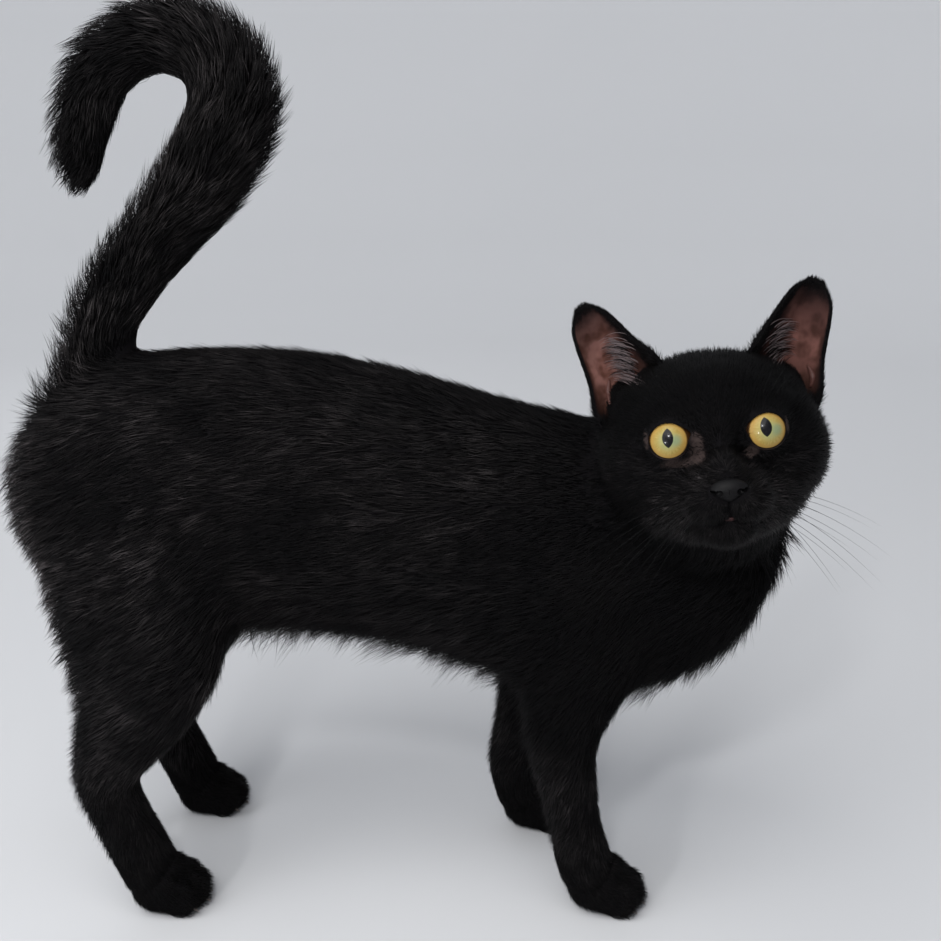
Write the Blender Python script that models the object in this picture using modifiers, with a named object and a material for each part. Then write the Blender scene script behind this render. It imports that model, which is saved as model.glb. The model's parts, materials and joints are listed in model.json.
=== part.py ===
"""A domestic shorthair cat, standing still with its tail raised in a hook and its head turned to its right.

Metres, +Z up. The cat stands along +X, its right side faces -Y, and z = 0 is the floor.
Sizes in the tables are centimetres in the cat's own frame, and cm() turns them into metres.
The flesh is made from ellipsoids and lofts, fused by a voxel remesh, and then parted with thin cuts.
"""

import math

import bmesh
import bpy
import numpy as np
from mathutils import Euler, Matrix, Vector
from mathutils.bvhtree import BVHTree

CM = 0.01
GAP = 0.0003
SIDES = {-1: "right", 1: "left"}
STAND_OFFSET = Vector((0.0328, 0.0234, 0.0))

BODY_VOXEL, HEAD_VOXEL, FOOT_VOXEL = 0.0024, 0.0014, 0.0011
BODY_TRIANGLES, HEAD_TRIANGLES, FOOT_TRIANGLES = 3400, 1800, 320
BODY_SMOOTHING, HEAD_SMOOTHING, FOOT_SMOOTHING = 12, 7, 4
RING_SIDES, CUTTER_SIDES, GROOVE_SIDES, LENS_SIDES = 24, 14, 6, 26
FORM_FACETS, NECK_FACETS, EYE_FACETS = (28, 18), (22, 14), (18, 11)
LEATHER_FACETS, NOSTRIL_FACETS = (18, 12), (10, 8)
CAT_BLACK = (0.012, 0.011, 0.012, 1.0)
EAR_BROWN = (0.10, 0.045, 0.035, 1.0)
IRIS_GOLD = (0.80, 0.52, 0.09, 1.0)
SKIN_ROUGHNESS, EYE_ROUGHNESS = 0.6, 0.15

# Trunk sections from the buttocks to the breast: along, back line, under line, half width.
TRUNK = (
    (-21.9, 23.7, 20.8, 1.8),
    (-21.1, 25.2, 18.2, 4.0),
    (-19.2, 26.8, 15.2, 5.4),
    (-16.0, 27.9, 13.7, 5.8),
    (-11.5, 28.2, 13.6, 5.5),
    (-7.0, 27.9, 13.5, 5.5),
    (-2.5, 26.9, 12.7, 5.8),
    (2.0, 25.6, 11.2, 6.0),
    (6.5, 24.6, 10.4, 5.8),
    (10.3, 23.8, 11.1, 5.1),
    (13.3, 23.0, 13.2, 4.2),
    (15.3, 21.7, 16.8, 2.4),
)
TRUNK_FLARE = 0.10

# Limb sections: along, side, up, half depth along the body and half width across it, or one radius.
NECK = (
    (7.0, 0.6, 18.5, 6.0, 5.6),
    (9.6, -0.9, 20.4, 5.4, 5.0),
    (10.6, -3.2, 22.4, 4.7, 4.6),
    (10.4, -5.6, 24.2, 4.0, 4.0),
)
HIND_LEG = (
    (-15.5, 3.0, 22.0, 4.5, 2.6),
    (-15.4, 4.1, 18.0, 4.5, 2.9),
    (-15.3, 4.5, 14.4, 3.9, 2.7),
    (-16.2, 4.3, 11.4, 3.0, 2.0),
    (-17.6, 4.1, 8.6, 1.95, 1.55),
    (-18.0, 4.0, 7.2, 1.65, 1.4),
    (-17.3, 3.9, 4.9, 1.5, 1.4),
    (-16.4, 3.9, 2.8, 1.5, 1.5),
)
FORE_LEG = (
    (6.8, 3.0, 18.0, 3.5, 2.3),
    (5.8, 3.9, 15.2, 3.4, 2.3),
    (4.8, 4.3, 12.4, 2.75, 2.1),
    (4.4, 4.2, 9.4, 1.85, 1.75),
    (4.8, 4.1, 6.2, 1.45, 1.45),
    (5.1, 4.0, 4.4, 1.4, 1.4),
    (5.5, 3.9, 2.8, 1.5, 1.5),
)
KNEE_ROW, LEG_SHIFT_ROWS, LEG_SHIFT_POWER = 3, 4.5, 2.4
TAIL = (
    (-19.2, 0.0, 24.4, 2.3),
    (-18.3, 0.0, 27.4, 1.8),
    (-17.3, 0.1, 30.0, 1.8),
    (-15.1, 0.3, 33.0, 1.9),
    (-12.3, 0.6, 36.0, 2.15),
    (-10.85, 0.9, 38.9, 2.25),
    (-11.5, 1.2, 41.3, 2.05),
    (-14.1, 1.4, 42.4, 1.85),
    (-16.8, 1.4, 41.0, 1.75),
    (-18.1, 1.3, 38.4, 1.6),
    (-18.4, 1.2, 36.2, 1.2),
    (-18.4, 1.2, 34.9, 0.45),
)

# The rows of the tail's table between which each of its lengths lies.
TAIL_LENGTHS = (
    ("tail_root", 1.4, 3.4),
    ("tail_shaft", 3.4, 5.4),
    ("tail_crook", 5.4, 7.4),
    ("tail_hook", 7.4, 11.0),
)
TAIL_STEPS, TAIL_OVERLAP_ROWS, TAIL_PAST_TIP = 4, 0.3, 0.8
TAIL_CUTTER_MARGIN, TAIL_CUTTER_LEAST = 0.55, 0.8

# The upper leg's cutter: how far out it is moved, and how much deeper and wider than the leg it is.
UPPER_LEG_CUTTER = (1.5, 0.5, 1.4)
UPPER_LEG_TOP = ((1.8, 0.35), (1.2, 0.75))
NECK_BALL = ((10.4, -4.4, 23.2), (5.8, 5.2, 5.2))
ANKLE_BLOCK, KNEE_BLOCK = (8.0, 3.6), (12.0, 3.9)
FLOOR_BLOCK = ((-40, -20, -5), (40, 20, 0))

# Each leg: its table, its side, how far it is moved along and across, and the turn of its foot in degrees.
LEGS = {
    "hind_right": (HIND_LEG, -1, (0.0, 0.0), 6),
    "hind_left": (HIND_LEG, 1, (0.15, 1.1), 10),
    "fore_right": (FORE_LEG, -1, (0.2, 0.0), 0),
    "fore_left": (FORE_LEG, 1, (-2.8, -0.4), 0),
}
UPPER_NAMES = {"hind": "thigh", "fore": "upper_arm"}
FOOT_LENGTH, FOOT_WIDTH, FOOT_HEIGHT, FOOT_AHEAD = 4.1, 3.0, 2.8, 0.85
FOOT_STUB, SOLE_SINK = (0.4, 0.9), 0.15

# Shares of the foot's length, width and height: the radii of the palm and of a toe.
PALM, PALM_BACK, TOE, TOE_HEIGHT = (0.40, 0.46, 0.50), 0.05, (0.23, 0.155, 0.37), 0.36

# Each toe's place, as a share of the foot's width across it and of its length ahead.
TOES = ((-0.34, 0.24), (-0.12, 0.37), (0.12, 0.37), (0.34, 0.24))
TOE_SPREAD = 0.6

# The head's own frame: the face looks along -Y, +X is the cat's left, and the origin is between the ears.
HEAD_CENTRE = Vector((10.25, -6.85, 25.45)) * CM
HEAD_PITCH, HEAD_ROLL, HEAD_YAW = math.radians(-7), math.radians(-7.5), math.radians(-5.7)
HEAD_FORMS = {
    "cranium": ((0.0, 0.6, 0.7), (4.2, 3.9, 2.85)),
    "forehead": ((0.0, -1.2, 1.4), (2.7, 1.75, 1.75)),
    "cheek": ((2.6, 0.2, -0.9), (2.25, 2.7, 2.65)),
    "jaw": ((0.0, -0.8, -2.5), (3.7, 2.9, 2.2)),
    "brow": ((1.95, -1.55, 1.15), (1.4, 1.05, 0.85)),
    "cheekbone": ((2.4, -1.4, -1.2), (1.5, 1.2, 1.1)),
    "eyeball": ((1.83, -2.15, 0.2), (1.3, 1.3, 1.3)),
    "ear_base": ((3.2, 2.2, 0.6), (1.5, 1.5, 2.0)),
    "muzzle": ((0.0, -2.8, -2.1), (1.9, 1.75, 1.5)),
    "whisker_pad": ((0.8, -3.75, -2.35), (1.05, 1.05, 0.9)),
    "chin": ((0.0, -2.95, -3.5), (1.25, 1.15, 0.95)),
}
NOSE_BRIDGE = (
    (0.0, -1.0, 1.9, 1.0, 1.0),
    (0.0, -2.2, 0.9, 0.9, 0.8),
    (0.0, -3.4, -0.4, 0.85, 0.7),
    (0.0, -4.25, -1.45, 0.7, 0.68),
)
NOSE_LEATHER = ((0.0, -4.55, -1.7), (0.78, 0.45, 0.5))
NOSTRIL, NOSTRIL_TILT = ((0.40, -4.98, -1.82), (0.17, 0.34, 0.11)), math.radians(35)
EYE_CENTRE, EYE_RADIUS = (1.83, -2.15, 0.2), 1.10
EYE_OUTWARD, EYE_UPWARD = math.radians(9), math.radians(3)
EYE_OPENING, OPENING_REACH = (0.80, 0.77), (0.2, -3.5)

# Each corner of an eye: its length, sharpness, turn from level, and its drop as a share of its length.
TEAR_DUCT, OUTER_CORNER = (0.20, 14, 0.45, 0.35), (0.05, 14, 0.25, 0.0)
MOUTH_LINE = ((0.0, -2.25), (0.0, -2.95), (0.35, -3.2), (0.9, -3.15), (1.4, -2.95), (1.75, -2.75))
MOUTH_GROOVE, BEFORE_FACE = 0.07, -9.0

# The ear in the head's frame, from inside the head to its tip: inner edge, outer edge, depth of cup, rise.
EAR = (
    (1.3, 0.5, 2.3, 3.6, 1.0, -1.0, 1.5, 0.0),
    (2.05, 0.2, 3.45, 4.62, 0.7, 0.7, 1.7, 0.0),
    (2.8, 0.45, 4.5, 5.05, 0.8, 2.5, 1.4, 0.0),
    (3.75, 0.7, 5.55, 5.45, 0.9, 4.5, 0.75, 0.05),
    (4.5, 0.9, 6.1, 5.45, 0.95, 5.6, 0.12, 0.25),
)
EAR_LEAN = {-1: 0.0, 1: 0.03}
EAR_BACK = Vector((-0.1, 1.0, -0.1))
EAR_WALL, EAR_STEPS = 0.16, (9, 2)


def cm(*values):
    """A point given in centimetres, in metres."""
    return Vector(values) * CM


def clear_scene():
    for old in list(bpy.data.objects):
        bpy.data.objects.remove(old, do_unlink=True)


def collection(name):
    made = bpy.data.collections.new(name)
    bpy.context.scene.collection.children.link(made)
    return made


def material(name, colour, roughness):
    made = bpy.data.materials.new(name)
    made.use_nodes = True
    shader = made.node_tree.nodes["Principled BSDF"]
    shader.inputs["Base Color"].default_value = colour
    shader.inputs["Roughness"].default_value = roughness
    return made


def row_at(rows, t):
    """The row at place t of a smooth curve through rows of numbers."""
    rows = np.array(rows, float)
    padded = np.vstack([2 * rows[0] - rows[1], rows, 2 * rows[-1] - rows[-2]])
    span = min(int(t), len(rows) - 2)
    u = t - span
    a, b, c, d = padded[span : span + 4]
    return 0.5 * (2 * b + (c - a) * u + (2 * a - 5 * b + 4 * c - d) * u**2 + (3 * b - 3 * c + d - a) * u**3)


def smooth_rows(rows, per_span=3, start=0.0, end=None):
    """Rows of numbers with smooth steps between them, from place start to place end."""
    end = len(rows) - 1 if end is None else end
    steps = max(2, round((end - start) * per_span) + 1)
    return np.array([row_at(rows, t) for t in np.linspace(start, end, steps)])


def add_ellipsoid(forms, centre, radii, turn=None, segments=FORM_FACETS):
    """A closed ellipsoid in forms; centre and radii are in metres."""
    place = Matrix.Translation(centre) @ (turn or Matrix.Identity(4)) @ Matrix.Diagonal((*radii, 1.0))
    bmesh.ops.create_uvsphere(forms, u_segments=segments[0], v_segments=segments[1], radius=1.0, matrix=place)


def add_loft(forms, rings):
    """A closed skin through rings of points, each ring a list in the same order."""
    made = [[forms.verts.new(point) for point in ring] for ring in rings]
    count = len(made[0])
    faces = [forms.faces.new(made[0][::-1]), forms.faces.new(made[-1])]
    for low, high in zip(made, made[1:]):
        for i in range(count):
            j = (i + 1) % count
            faces.append(forms.faces.new((low[i], low[j], high[j], high[i])))
    bmesh.ops.recalc_face_normals(forms, faces=faces)


def trunk_rings():
    """Upright sections of the trunk, wider below than above."""
    for along, top, under, half_width in smooth_rows(TRUNK):
        middle, half_height = (top + under) / 2, (top - under) / 2
        ring = []
        for i in range(RING_SIDES):
            turn = math.tau * i / RING_SIDES
            half = half_width * (1.0 - TRUNK_FLARE * math.cos(turn))
            ring.append(cm(along, half * math.sin(turn), middle + half_height * math.cos(turn)))
        yield ring


def limb_rings(line, place=None, grow=0.0, sides=RING_SIDES):
    """Oval sections square to a limb's own line, whose rows hold a point and one or two radii."""
    place = place or Matrix.Identity(4)
    for row, slope in zip(line, np.gradient(line[:, :3], axis=0)):
        ahead = Vector(slope).normalized()
        side = Vector((0, 1, 0)) if abs(ahead.y) < abs(ahead.x) + abs(ahead.z) else Vector((1, 0, 0))
        across = (side - ahead * ahead.dot(side)).normalized()
        up = across.cross(ahead)
        ring = []
        for i in range(sides):
            turn = math.tau * i / sides
            offset = up * (row[3] + grow) * math.cos(turn) + across * (row[-1] + grow) * math.sin(turn)
            ring.append(place @ ((Vector(row[:3]) + offset) * CM))
        yield ring


def leg_rows(leg):
    """The leg's table set on its own side and moved to where it stands."""
    rows, side, (along, across), _ = leg
    moved = []
    for i, (x, y, z, depth, width) in enumerate(rows):
        share = min(1.0, i / LEG_SHIFT_ROWS) ** LEG_SHIFT_POWER
        moved.append((x + along * share, side * (y + across * share), z, depth, width))
    return moved


def foot_frame(leg):
    """Where the leg's foot stands, with its toes along the frame's own +X."""
    x, y = leg_rows(leg)[-1][:2]
    return Matrix.Translation(cm(x + FOOT_AHEAD, y, 0)) @ Matrix.Rotation(math.radians(leg[3]), 4, "Z")


def add_foot(forms, leg):
    """The end of the leg, a palm and four toes in an arc, sunk below the floor that trims their soles."""
    frame = foot_frame(leg)
    turn = frame.to_3x3().to_4x4()
    sizes = (FOOT_LENGTH, FOOT_WIDTH, FOOT_HEIGHT)
    palm, toe = [cm(*(size * part for size, part in zip(sizes, shares))) for shares in (PALM, TOE)]
    middle = frame @ cm(-PALM_BACK * FOOT_LENGTH, 0, PALM[2] * FOOT_HEIGHT - SOLE_SINK)
    add_ellipsoid(forms, middle, palm, turn)
    for across, ahead in TOES:
        place = frame @ cm(FOOT_LENGTH * ahead, FOOT_WIDTH * across, TOE_HEIGHT * FOOT_HEIGHT - SOLE_SINK)
        add_ellipsoid(forms, place, toe, turn @ Matrix.Rotation(across * TOE_SPREAD, 4, "Z"))
    rows = leg_rows(leg)
    add_loft(forms, limb_rings(smooth_rows([*rows[-3:], foot_stub(rows)])))


def foot_stub(rows):
    """A last row that carries the leg down into its foot."""
    x, y, _, depth, width = rows[-1]
    ahead, up = FOOT_STUB
    return (x + ahead, y, up, depth, width)


def head_frame():
    turns = (Euler((0, 0, HEAD_YAW)), Euler((HEAD_PITCH, 0, 0)), Euler((0, HEAD_ROLL, 0)))
    yaw, pitch, roll = [turn.to_matrix().to_4x4() for turn in turns]
    return Matrix.Translation(HEAD_CENTRE) @ yaw @ pitch @ roll


def both_sides(centre):
    """The centre, and its mirror image where it is off the middle plane."""
    x, y, z = centre
    return [(x, y, z)] if x == 0 else [(x, y, z), (-x, y, z)]


def eye_frame(side):
    """An eye's own frame on one side of the head, with its gaze along -Y."""
    x, y, z = EYE_CENTRE
    turn = Euler((-EYE_UPWARD, 0, side * EYE_OUTWARD)).to_matrix().to_4x4()
    return head_frame() @ Matrix.Translation(cm(side * x, y, z)) @ turn


def linked(mesh, name, group):
    made = bpy.data.objects.new(name, mesh)
    group.objects.link(made)
    return made


def object_of(forms, name, group):
    mesh = bpy.data.meshes.new(name)
    forms.to_mesh(mesh)
    forms.free()
    return linked(mesh, name, group)


def settle(obj):
    """Applies the object's modifiers, by putting its evaluated mesh in place of its own."""
    graph = bpy.context.evaluated_depsgraph_get()
    graph.update()
    old, obj.data = obj.data, bpy.data.meshes.new_from_object(obj.evaluated_get(graph))
    obj.modifiers.clear()
    bpy.data.meshes.remove(old)
    return obj


def fuse_forms(obj, voxel, smoothing, triangles):
    """One closed, rounded skin over overlapping forms, thinned to about the given number of triangles."""
    remesh = obj.modifiers.new("Fuse", "REMESH")
    remesh.mode, remesh.voxel_size = "VOXEL", voxel
    smooth = obj.modifiers.new("Round", "SMOOTH")
    smooth.factor, smooth.iterations = 0.5, smoothing
    settle(obj)
    thin = obj.modifiers.new("Thin", "DECIMATE")
    thin.ratio = triangles / (2 * len(obj.data.polygons))
    thin.use_collapse_triangulate = True
    return settle(obj)


def boolean(obj, other, operation):
    """obj joined with, cut by or limited to another closed mesh, which is then removed."""
    change = obj.modifiers.new(operation.title(), "BOOLEAN")
    change.operation, change.solver, change.object = operation, "MANIFOLD", other
    settle(obj)
    bpy.data.objects.remove(other, do_unlink=True)
    return obj


def box(group, low, high, place=None):
    """A box between two corners, in metres, set by a matrix."""
    forms = bmesh.new()
    size, middle = high - low, (high + low) / 2
    shape = Matrix.Translation(middle) @ Matrix.Diagonal((*size, 1.0))
    bmesh.ops.create_cube(forms, size=1.0, matrix=(place or Matrix.Identity(4)) @ shape)
    return object_of(forms, "box", group)


def ball(group, name, centre, radii, turn=None, segments=FORM_FACETS):
    """An ellipsoid as an object of its own; centre and radii are in metres."""
    forms = bmesh.new()
    add_ellipsoid(forms, centre, radii, turn, segments)
    return object_of(forms, name, group)


def loft(group, rings):
    """A loft as an object of its own."""
    forms = bmesh.new()
    add_loft(forms, rings)
    return object_of(forms, "loft", group)


def beyond(group, plane, size, grow=0.0):
    """A block of a reach and a half width that holds what lies beyond a plane; grow moves the plane back."""
    point, normal = plane
    reach, half = [length * CM for length in size]
    place = Matrix.Translation(point) @ normal.to_track_quat("Z", "Y").to_matrix().to_4x4()
    return box(group, Vector((-half, -half, -grow)), Vector((half, half, reach)), place)


def part_off(rest, name, group, cutter):
    """Takes what a cutter holds out of rest, as a part of its own. cutter(grow) makes it grown by grow."""
    piece = linked(rest.data.copy(), name, group)
    boolean(piece, cutter(0.0), "INTERSECT")
    boolean(rest, cutter(GAP), "DIFFERENCE")
    return piece


def swollen_copy(obj, group, distance):
    """A copy of a closed mesh with each vertex moved out along its normal."""
    made = linked(obj.data.copy(), "swollen", group)
    for vertex, normal in zip(made.data.vertices, obj.data.vertex_normals):
        vertex.co += normal.vector * distance
    return made


def islands_of(shape):
    """The separate closed surfaces of a bmesh, as lists of vertices."""
    seen, islands = set(), []
    for start in shape.verts:
        if start in seen:
            continue
        seen.add(start)
        island = [start]
        for vertex in island:
            near = {edge.other_vert(vertex) for edge in vertex.link_edges} - seen
            seen |= near
            island.extend(near)
        islands.append(island)
    return islands


def keep_largest(obj):
    shape = bmesh.new()
    shape.from_mesh(obj.data)
    islands = sorted(islands_of(shape), key=len)
    bmesh.ops.delete(shape, geom=[vertex for island in islands[:-1] for vertex in island], context="VERTS")
    shape.to_mesh(obj.data)
    shape.free()


def finish(obj, skin, smooth_angle=50):
    """One closed body, smooth shaded, in its colour."""
    keep_largest(obj)
    obj.data.materials.clear()
    obj.data.materials.append(skin)
    obj.data.shade_smooth()
    obj.data.set_sharp_from_angle(angle=math.radians(smooth_angle))
    return obj


def leg_cuts(leg):
    """The planes across the ankle and the knee, each a point and the way down the leg."""
    points = [Vector(row[:3]) * CM for row in leg_rows(leg)]
    ankle = (points[-1], (points[-1] - points[-2]).normalized())
    knee = (points[KNEE_ROW], (points[KNEE_ROW + 1] - points[KNEE_ROW - 1]).normalized())
    return ankle, knee


def make_foot(name, leg, parts, scratch):
    forms = bmesh.new()
    add_foot(forms, leg)
    foot = fuse_forms(object_of(forms, f"{name}_paw", parts), FOOT_VOXEL, FOOT_SMOOTHING, FOOT_TRIANGLES)
    ankle, _ = leg_cuts(leg)
    boolean(foot, beyond(scratch, ankle, ANKLE_BLOCK), "INTERSECT")
    low, high = FLOOR_BLOCK
    return boolean(foot, box(scratch, cm(*low), cm(*high)), "DIFFERENCE")


def make_body(parts):
    """The trunk with its neck, legs and tail as one skin."""
    forms = bmesh.new()
    add_loft(forms, trunk_rings())
    add_loft(forms, limb_rings(smooth_rows(NECK)))
    add_loft(forms, limb_rings(smooth_rows(TAIL)))
    for leg in LEGS.values():
        rows = leg_rows(leg)
        add_loft(forms, limb_rings(smooth_rows([*rows, foot_stub(rows)])))
    return fuse_forms(object_of(forms, "torso", parts), BODY_VOXEL, BODY_SMOOTHING, BODY_TRIANGLES)


def part_legs(body, parts, scratch):
    """Takes each leg's shank and thigh or upper arm off the body, and drops what lay below its ankle."""
    for name, leg in LEGS.items():
        ankle, knee = leg_cuts(leg)
        boolean(body, beyond(scratch, ankle, ANKLE_BLOCK, GAP), "DIFFERENCE")
        yield part_off(body, f"{name}_shank", parts, lambda grow: beyond(scratch, knee, KNEE_BLOCK, grow))
        upper = f"{name}_{UPPER_NAMES[name[:4]]}"
        yield part_off(body, upper, parts, lambda grow: upper_leg_cutter(leg, scratch, grow))


def upper_leg_cutter(leg, scratch, grow):
    """A swollen copy of the leg from its top to below the knee, moved outward and rounded at the top."""
    out, deeper, wider = UPPER_LEG_CUTTER
    rows = []
    for x, y, z, depth, width in leg_rows(leg)[: KNEE_ROW + 2]:
        rows.append((x, y + leg[1] * out, z, depth + deeper, width + wider))
    rows = np.array(rows)
    lean = (rows[0, :3] - rows[1, :3]) / (rows[0, 2] - rows[1, 2])
    top = [np.append(rows[0, :3] + lean * up, rows[0, 3:] * share) for up, share in UPPER_LEG_TOP]
    line = drawn_back(smooth_rows(np.vstack([top, rows]), 2), grow)
    return loft(scratch, limb_rings(line, grow=grow / CM, sides=CUTTER_SIDES))


def drawn_back(line, distance):
    """A copy of a line whose first row is moved back along it by a distance in metres."""
    line = line.copy()
    step = line[0, :3] - line[1, :3]
    line[0, :3] += step / np.linalg.norm(step) * distance / CM
    return line


def part_tail(body, parts, scratch):
    """Takes the tail off in lengths, from its tip to its root."""
    tip = len(TAIL) - 1
    for name, start, end in reversed(TAIL_LENGTHS):
        line = smooth_rows(TAIL, TAIL_STEPS, start, min(end + TAIL_OVERLAP_ROWS, tip))
        if end == tip:
            line = np.vstack([line, line[-1] - (0, 0, TAIL_PAST_TIP, 0)])
        line[:, 3] = np.maximum(line[:, 3], TAIL_CUTTER_LEAST) + TAIL_CUTTER_MARGIN
        yield part_off(body, name, parts, lambda grow: tail_cutter(line, scratch, grow))


def tail_cutter(line, scratch, grow):
    """A sleeve round one length of the tail, whose first end is moved back by grow."""
    return loft(scratch, limb_rings(drawn_back(line, grow), sides=CUTTER_SIDES))


def lens_outline():
    """An eye's opening seen from the front, with its tear duct at -X and its outer corner at +X."""
    half_width, half_height = EYE_OPENING
    for i in range(LENS_SIDES):
        turn = math.tau * i / LENS_SIDES
        x, z = half_width * math.cos(turn), half_height * math.sin(turn)
        for way, (length, sharpness, tilt, drop) in ((-1, TEAR_DUCT), (1, OUTER_CORNER)):
            corner = length * max(0.0, way * math.cos(turn - way * tilt)) ** sharpness
            x += way * corner
            z -= drop * corner
        yield x, z


def eye_opening(side, scratch):
    """A block that cuts the lids open, from the middle of the eye to well in front of it."""
    frame = eye_frame(side)
    outline = list(lens_outline())
    return loft(scratch, [[frame @ cm(side * x, y, z) for x, z in outline] for y in OPENING_REACH])


def on_face(tree, frame, x, z):
    """The point of the head's surface that is met from the front at x and z of its own frame."""
    ahead = frame.to_3x3() @ Vector((0, 1, 0))
    hit, _, _, _ = tree.ray_cast(frame @ cm(x, BEFORE_FACE, z), ahead)
    return hit


def cut_groove(head, tree, line, scratch):
    """A round groove along a line of x and z places on the face."""
    frame = head_frame()
    places = [on_face(tree, frame, *place) for place in smooth_rows(line, 3)]
    rows = np.array([[*(place / CM), MOUTH_GROOVE] for place in places])
    return boolean(head, loft(scratch, limb_rings(rows, sides=GROOVE_SIDES)), "DIFFERENCE")


def make_head(parts, scratch):
    """The head without ears and eyes: its lids, sockets, nose leather, nostrils and the line of its mouth."""
    frame = head_frame()
    turn = frame.to_3x3().to_4x4()
    forms = bmesh.new()
    for centre, radii in HEAD_FORMS.values():
        for place in both_sides(centre):
            add_ellipsoid(forms, frame @ cm(*place), cm(*radii), turn)
    add_loft(forms, limb_rings(np.array(NOSE_BRIDGE), frame))
    head = fuse_forms(object_of(forms, "head", parts), HEAD_VOXEL, HEAD_SMOOTHING, HEAD_TRIANGLES)
    centre, radii = NOSE_LEATHER
    boolean(head, ball(scratch, "leather", frame @ cm(*centre), cm(*radii), turn, LEATHER_FACETS), "UNION")
    tree = BVHTree.FromObject(head, bpy.context.evaluated_depsgraph_get())
    (x, y, z), radii = NOSTRIL
    for side in SIDES:
        boolean(head, eyeball(side, "socket", scratch, GAP), "DIFFERENCE")
        boolean(head, eye_opening(side, scratch), "DIFFERENCE")
        tilt = turn @ Matrix.Rotation(side * NOSTRIL_TILT, 4, "Y")
        nostril = ball(scratch, "nostril", frame @ cm(side * x, y, z), cm(*radii), tilt, NOSTRIL_FACETS)
        boolean(head, nostril, "DIFFERENCE")
        cut_groove(head, tree, [(side * across, up) for across, up in MOUTH_LINE[1:]], scratch)
    return cut_groove(head, tree, MOUTH_LINE[:2], scratch)


def eyeball(side, name, group, grow=0.0):
    """A ball of the eye's radius at the eye's place, with its poles at the eye's own top and bottom."""
    frame = eye_frame(side)
    radii = Vector([EYE_RADIUS * CM + grow] * 3)
    return ball(group, name, frame.translation, radii, frame.to_3x3().to_4x4(), EYE_FACETS)


def make_ear(side, word, head, parts, scratch):
    """A cupped sheet with a thickness, its root cut to the head."""
    frame = head_frame()
    across, per_row = EAR_STEPS
    sheet = bmesh.new()
    rows = []
    for ix, iy, iz, ox, oy, oz, cup, rise in smooth_rows(EAR, per_row):
        row = []
        for u in np.linspace(-1, 1, across + 1):
            place = Vector((ix, iy, iz)).lerp(Vector((ox, oy, oz)), (u + 1) / 2)
            place += (EAR_BACK * cup + Vector((0, 0, rise))) * (1 - u * u)
            place.x = side * (place.x + EAR_LEAN[side] * max(0.0, place.z))
            row.append(sheet.verts.new(frame @ (place * CM)))
        rows.append(row)
    for low, high in zip(rows, rows[1:]):
        for i in range(across):
            corners = (low[i], low[i + 1], high[i + 1], high[i])
            sheet.faces.new(corners if side > 0 else corners[::-1])
    bmesh.ops.triangulate(sheet, faces=sheet.faces)
    ear = object_of(sheet, f"ear_{word}", parts)
    wall = ear.modifiers.new("Wall", "SOLIDIFY")
    wall.thickness, wall.offset = EAR_WALL * CM, 1.0
    settle(ear)
    return boolean(ear, swollen_copy(head, scratch, GAP), "DIFFERENCE")


def neck_cutter(scratch, grow):
    centre, radii = NECK_BALL
    return ball(scratch, "cutter", cm(*centre), cm(*radii) + Vector([grow] * 3), None, NECK_FACETS)


def stand_on_floor(group):
    """Moves every part by the one offset that puts the middle of the cat's box over the origin."""
    for obj in group.objects:
        obj.data.transform(Matrix.Translation(STAND_OFFSET))


def main():
    clear_scene()
    parts, scratch = collection("domestic_shorthair_cat"), collection("cutters")
    fur = material("black_coat", CAT_BLACK, SKIN_ROUGHNESS)
    ear_skin = material("ear", EAR_BROWN, SKIN_ROUGHNESS)
    iris = material("eye_gold", IRIS_GOLD, EYE_ROUGHNESS)
    head = make_head(parts, scratch)
    finish(head, fur)
    body = make_body(parts)
    boolean(body, swollen_copy(head, scratch, GAP), "DIFFERENCE")
    keep_largest(body)
    for piece in part_legs(body, parts, scratch):
        finish(piece, fur)
    for piece in part_tail(body, parts, scratch):
        finish(piece, fur)
    finish(part_off(body, "neck", parts, lambda grow: neck_cutter(scratch, grow)), fur)
    finish(body, fur)
    for name, leg in LEGS.items():
        finish(make_foot(name, leg, parts, scratch), fur)
    for side, word in SIDES.items():
        finish(make_ear(side, word, head, parts, scratch), ear_skin)
        finish(eyeball(side, f"eye_{word}", parts), iris)
    stand_on_floor(parts)
    bpy.data.collections.remove(scratch)


if __name__ == "__main__":
    main()
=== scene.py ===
"""A black domestic shorthair cat, dressed with skin, coat, eyes, ears, nose, whiskers, claws and pads.

Tables are in centimetres in the cat's own frame, as the solids were drawn: +X towards the chest,
-Y towards the cat's right side, +Z up. STAND puts that frame on the floor.
"""

import json
import math
from contextlib import contextmanager

import bpy
import numpy as np
from mathutils import Euler, Matrix, Vector
from mathutils.bvhtree import BVHTree
from mathutils.kdtree import KDTree

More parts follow.
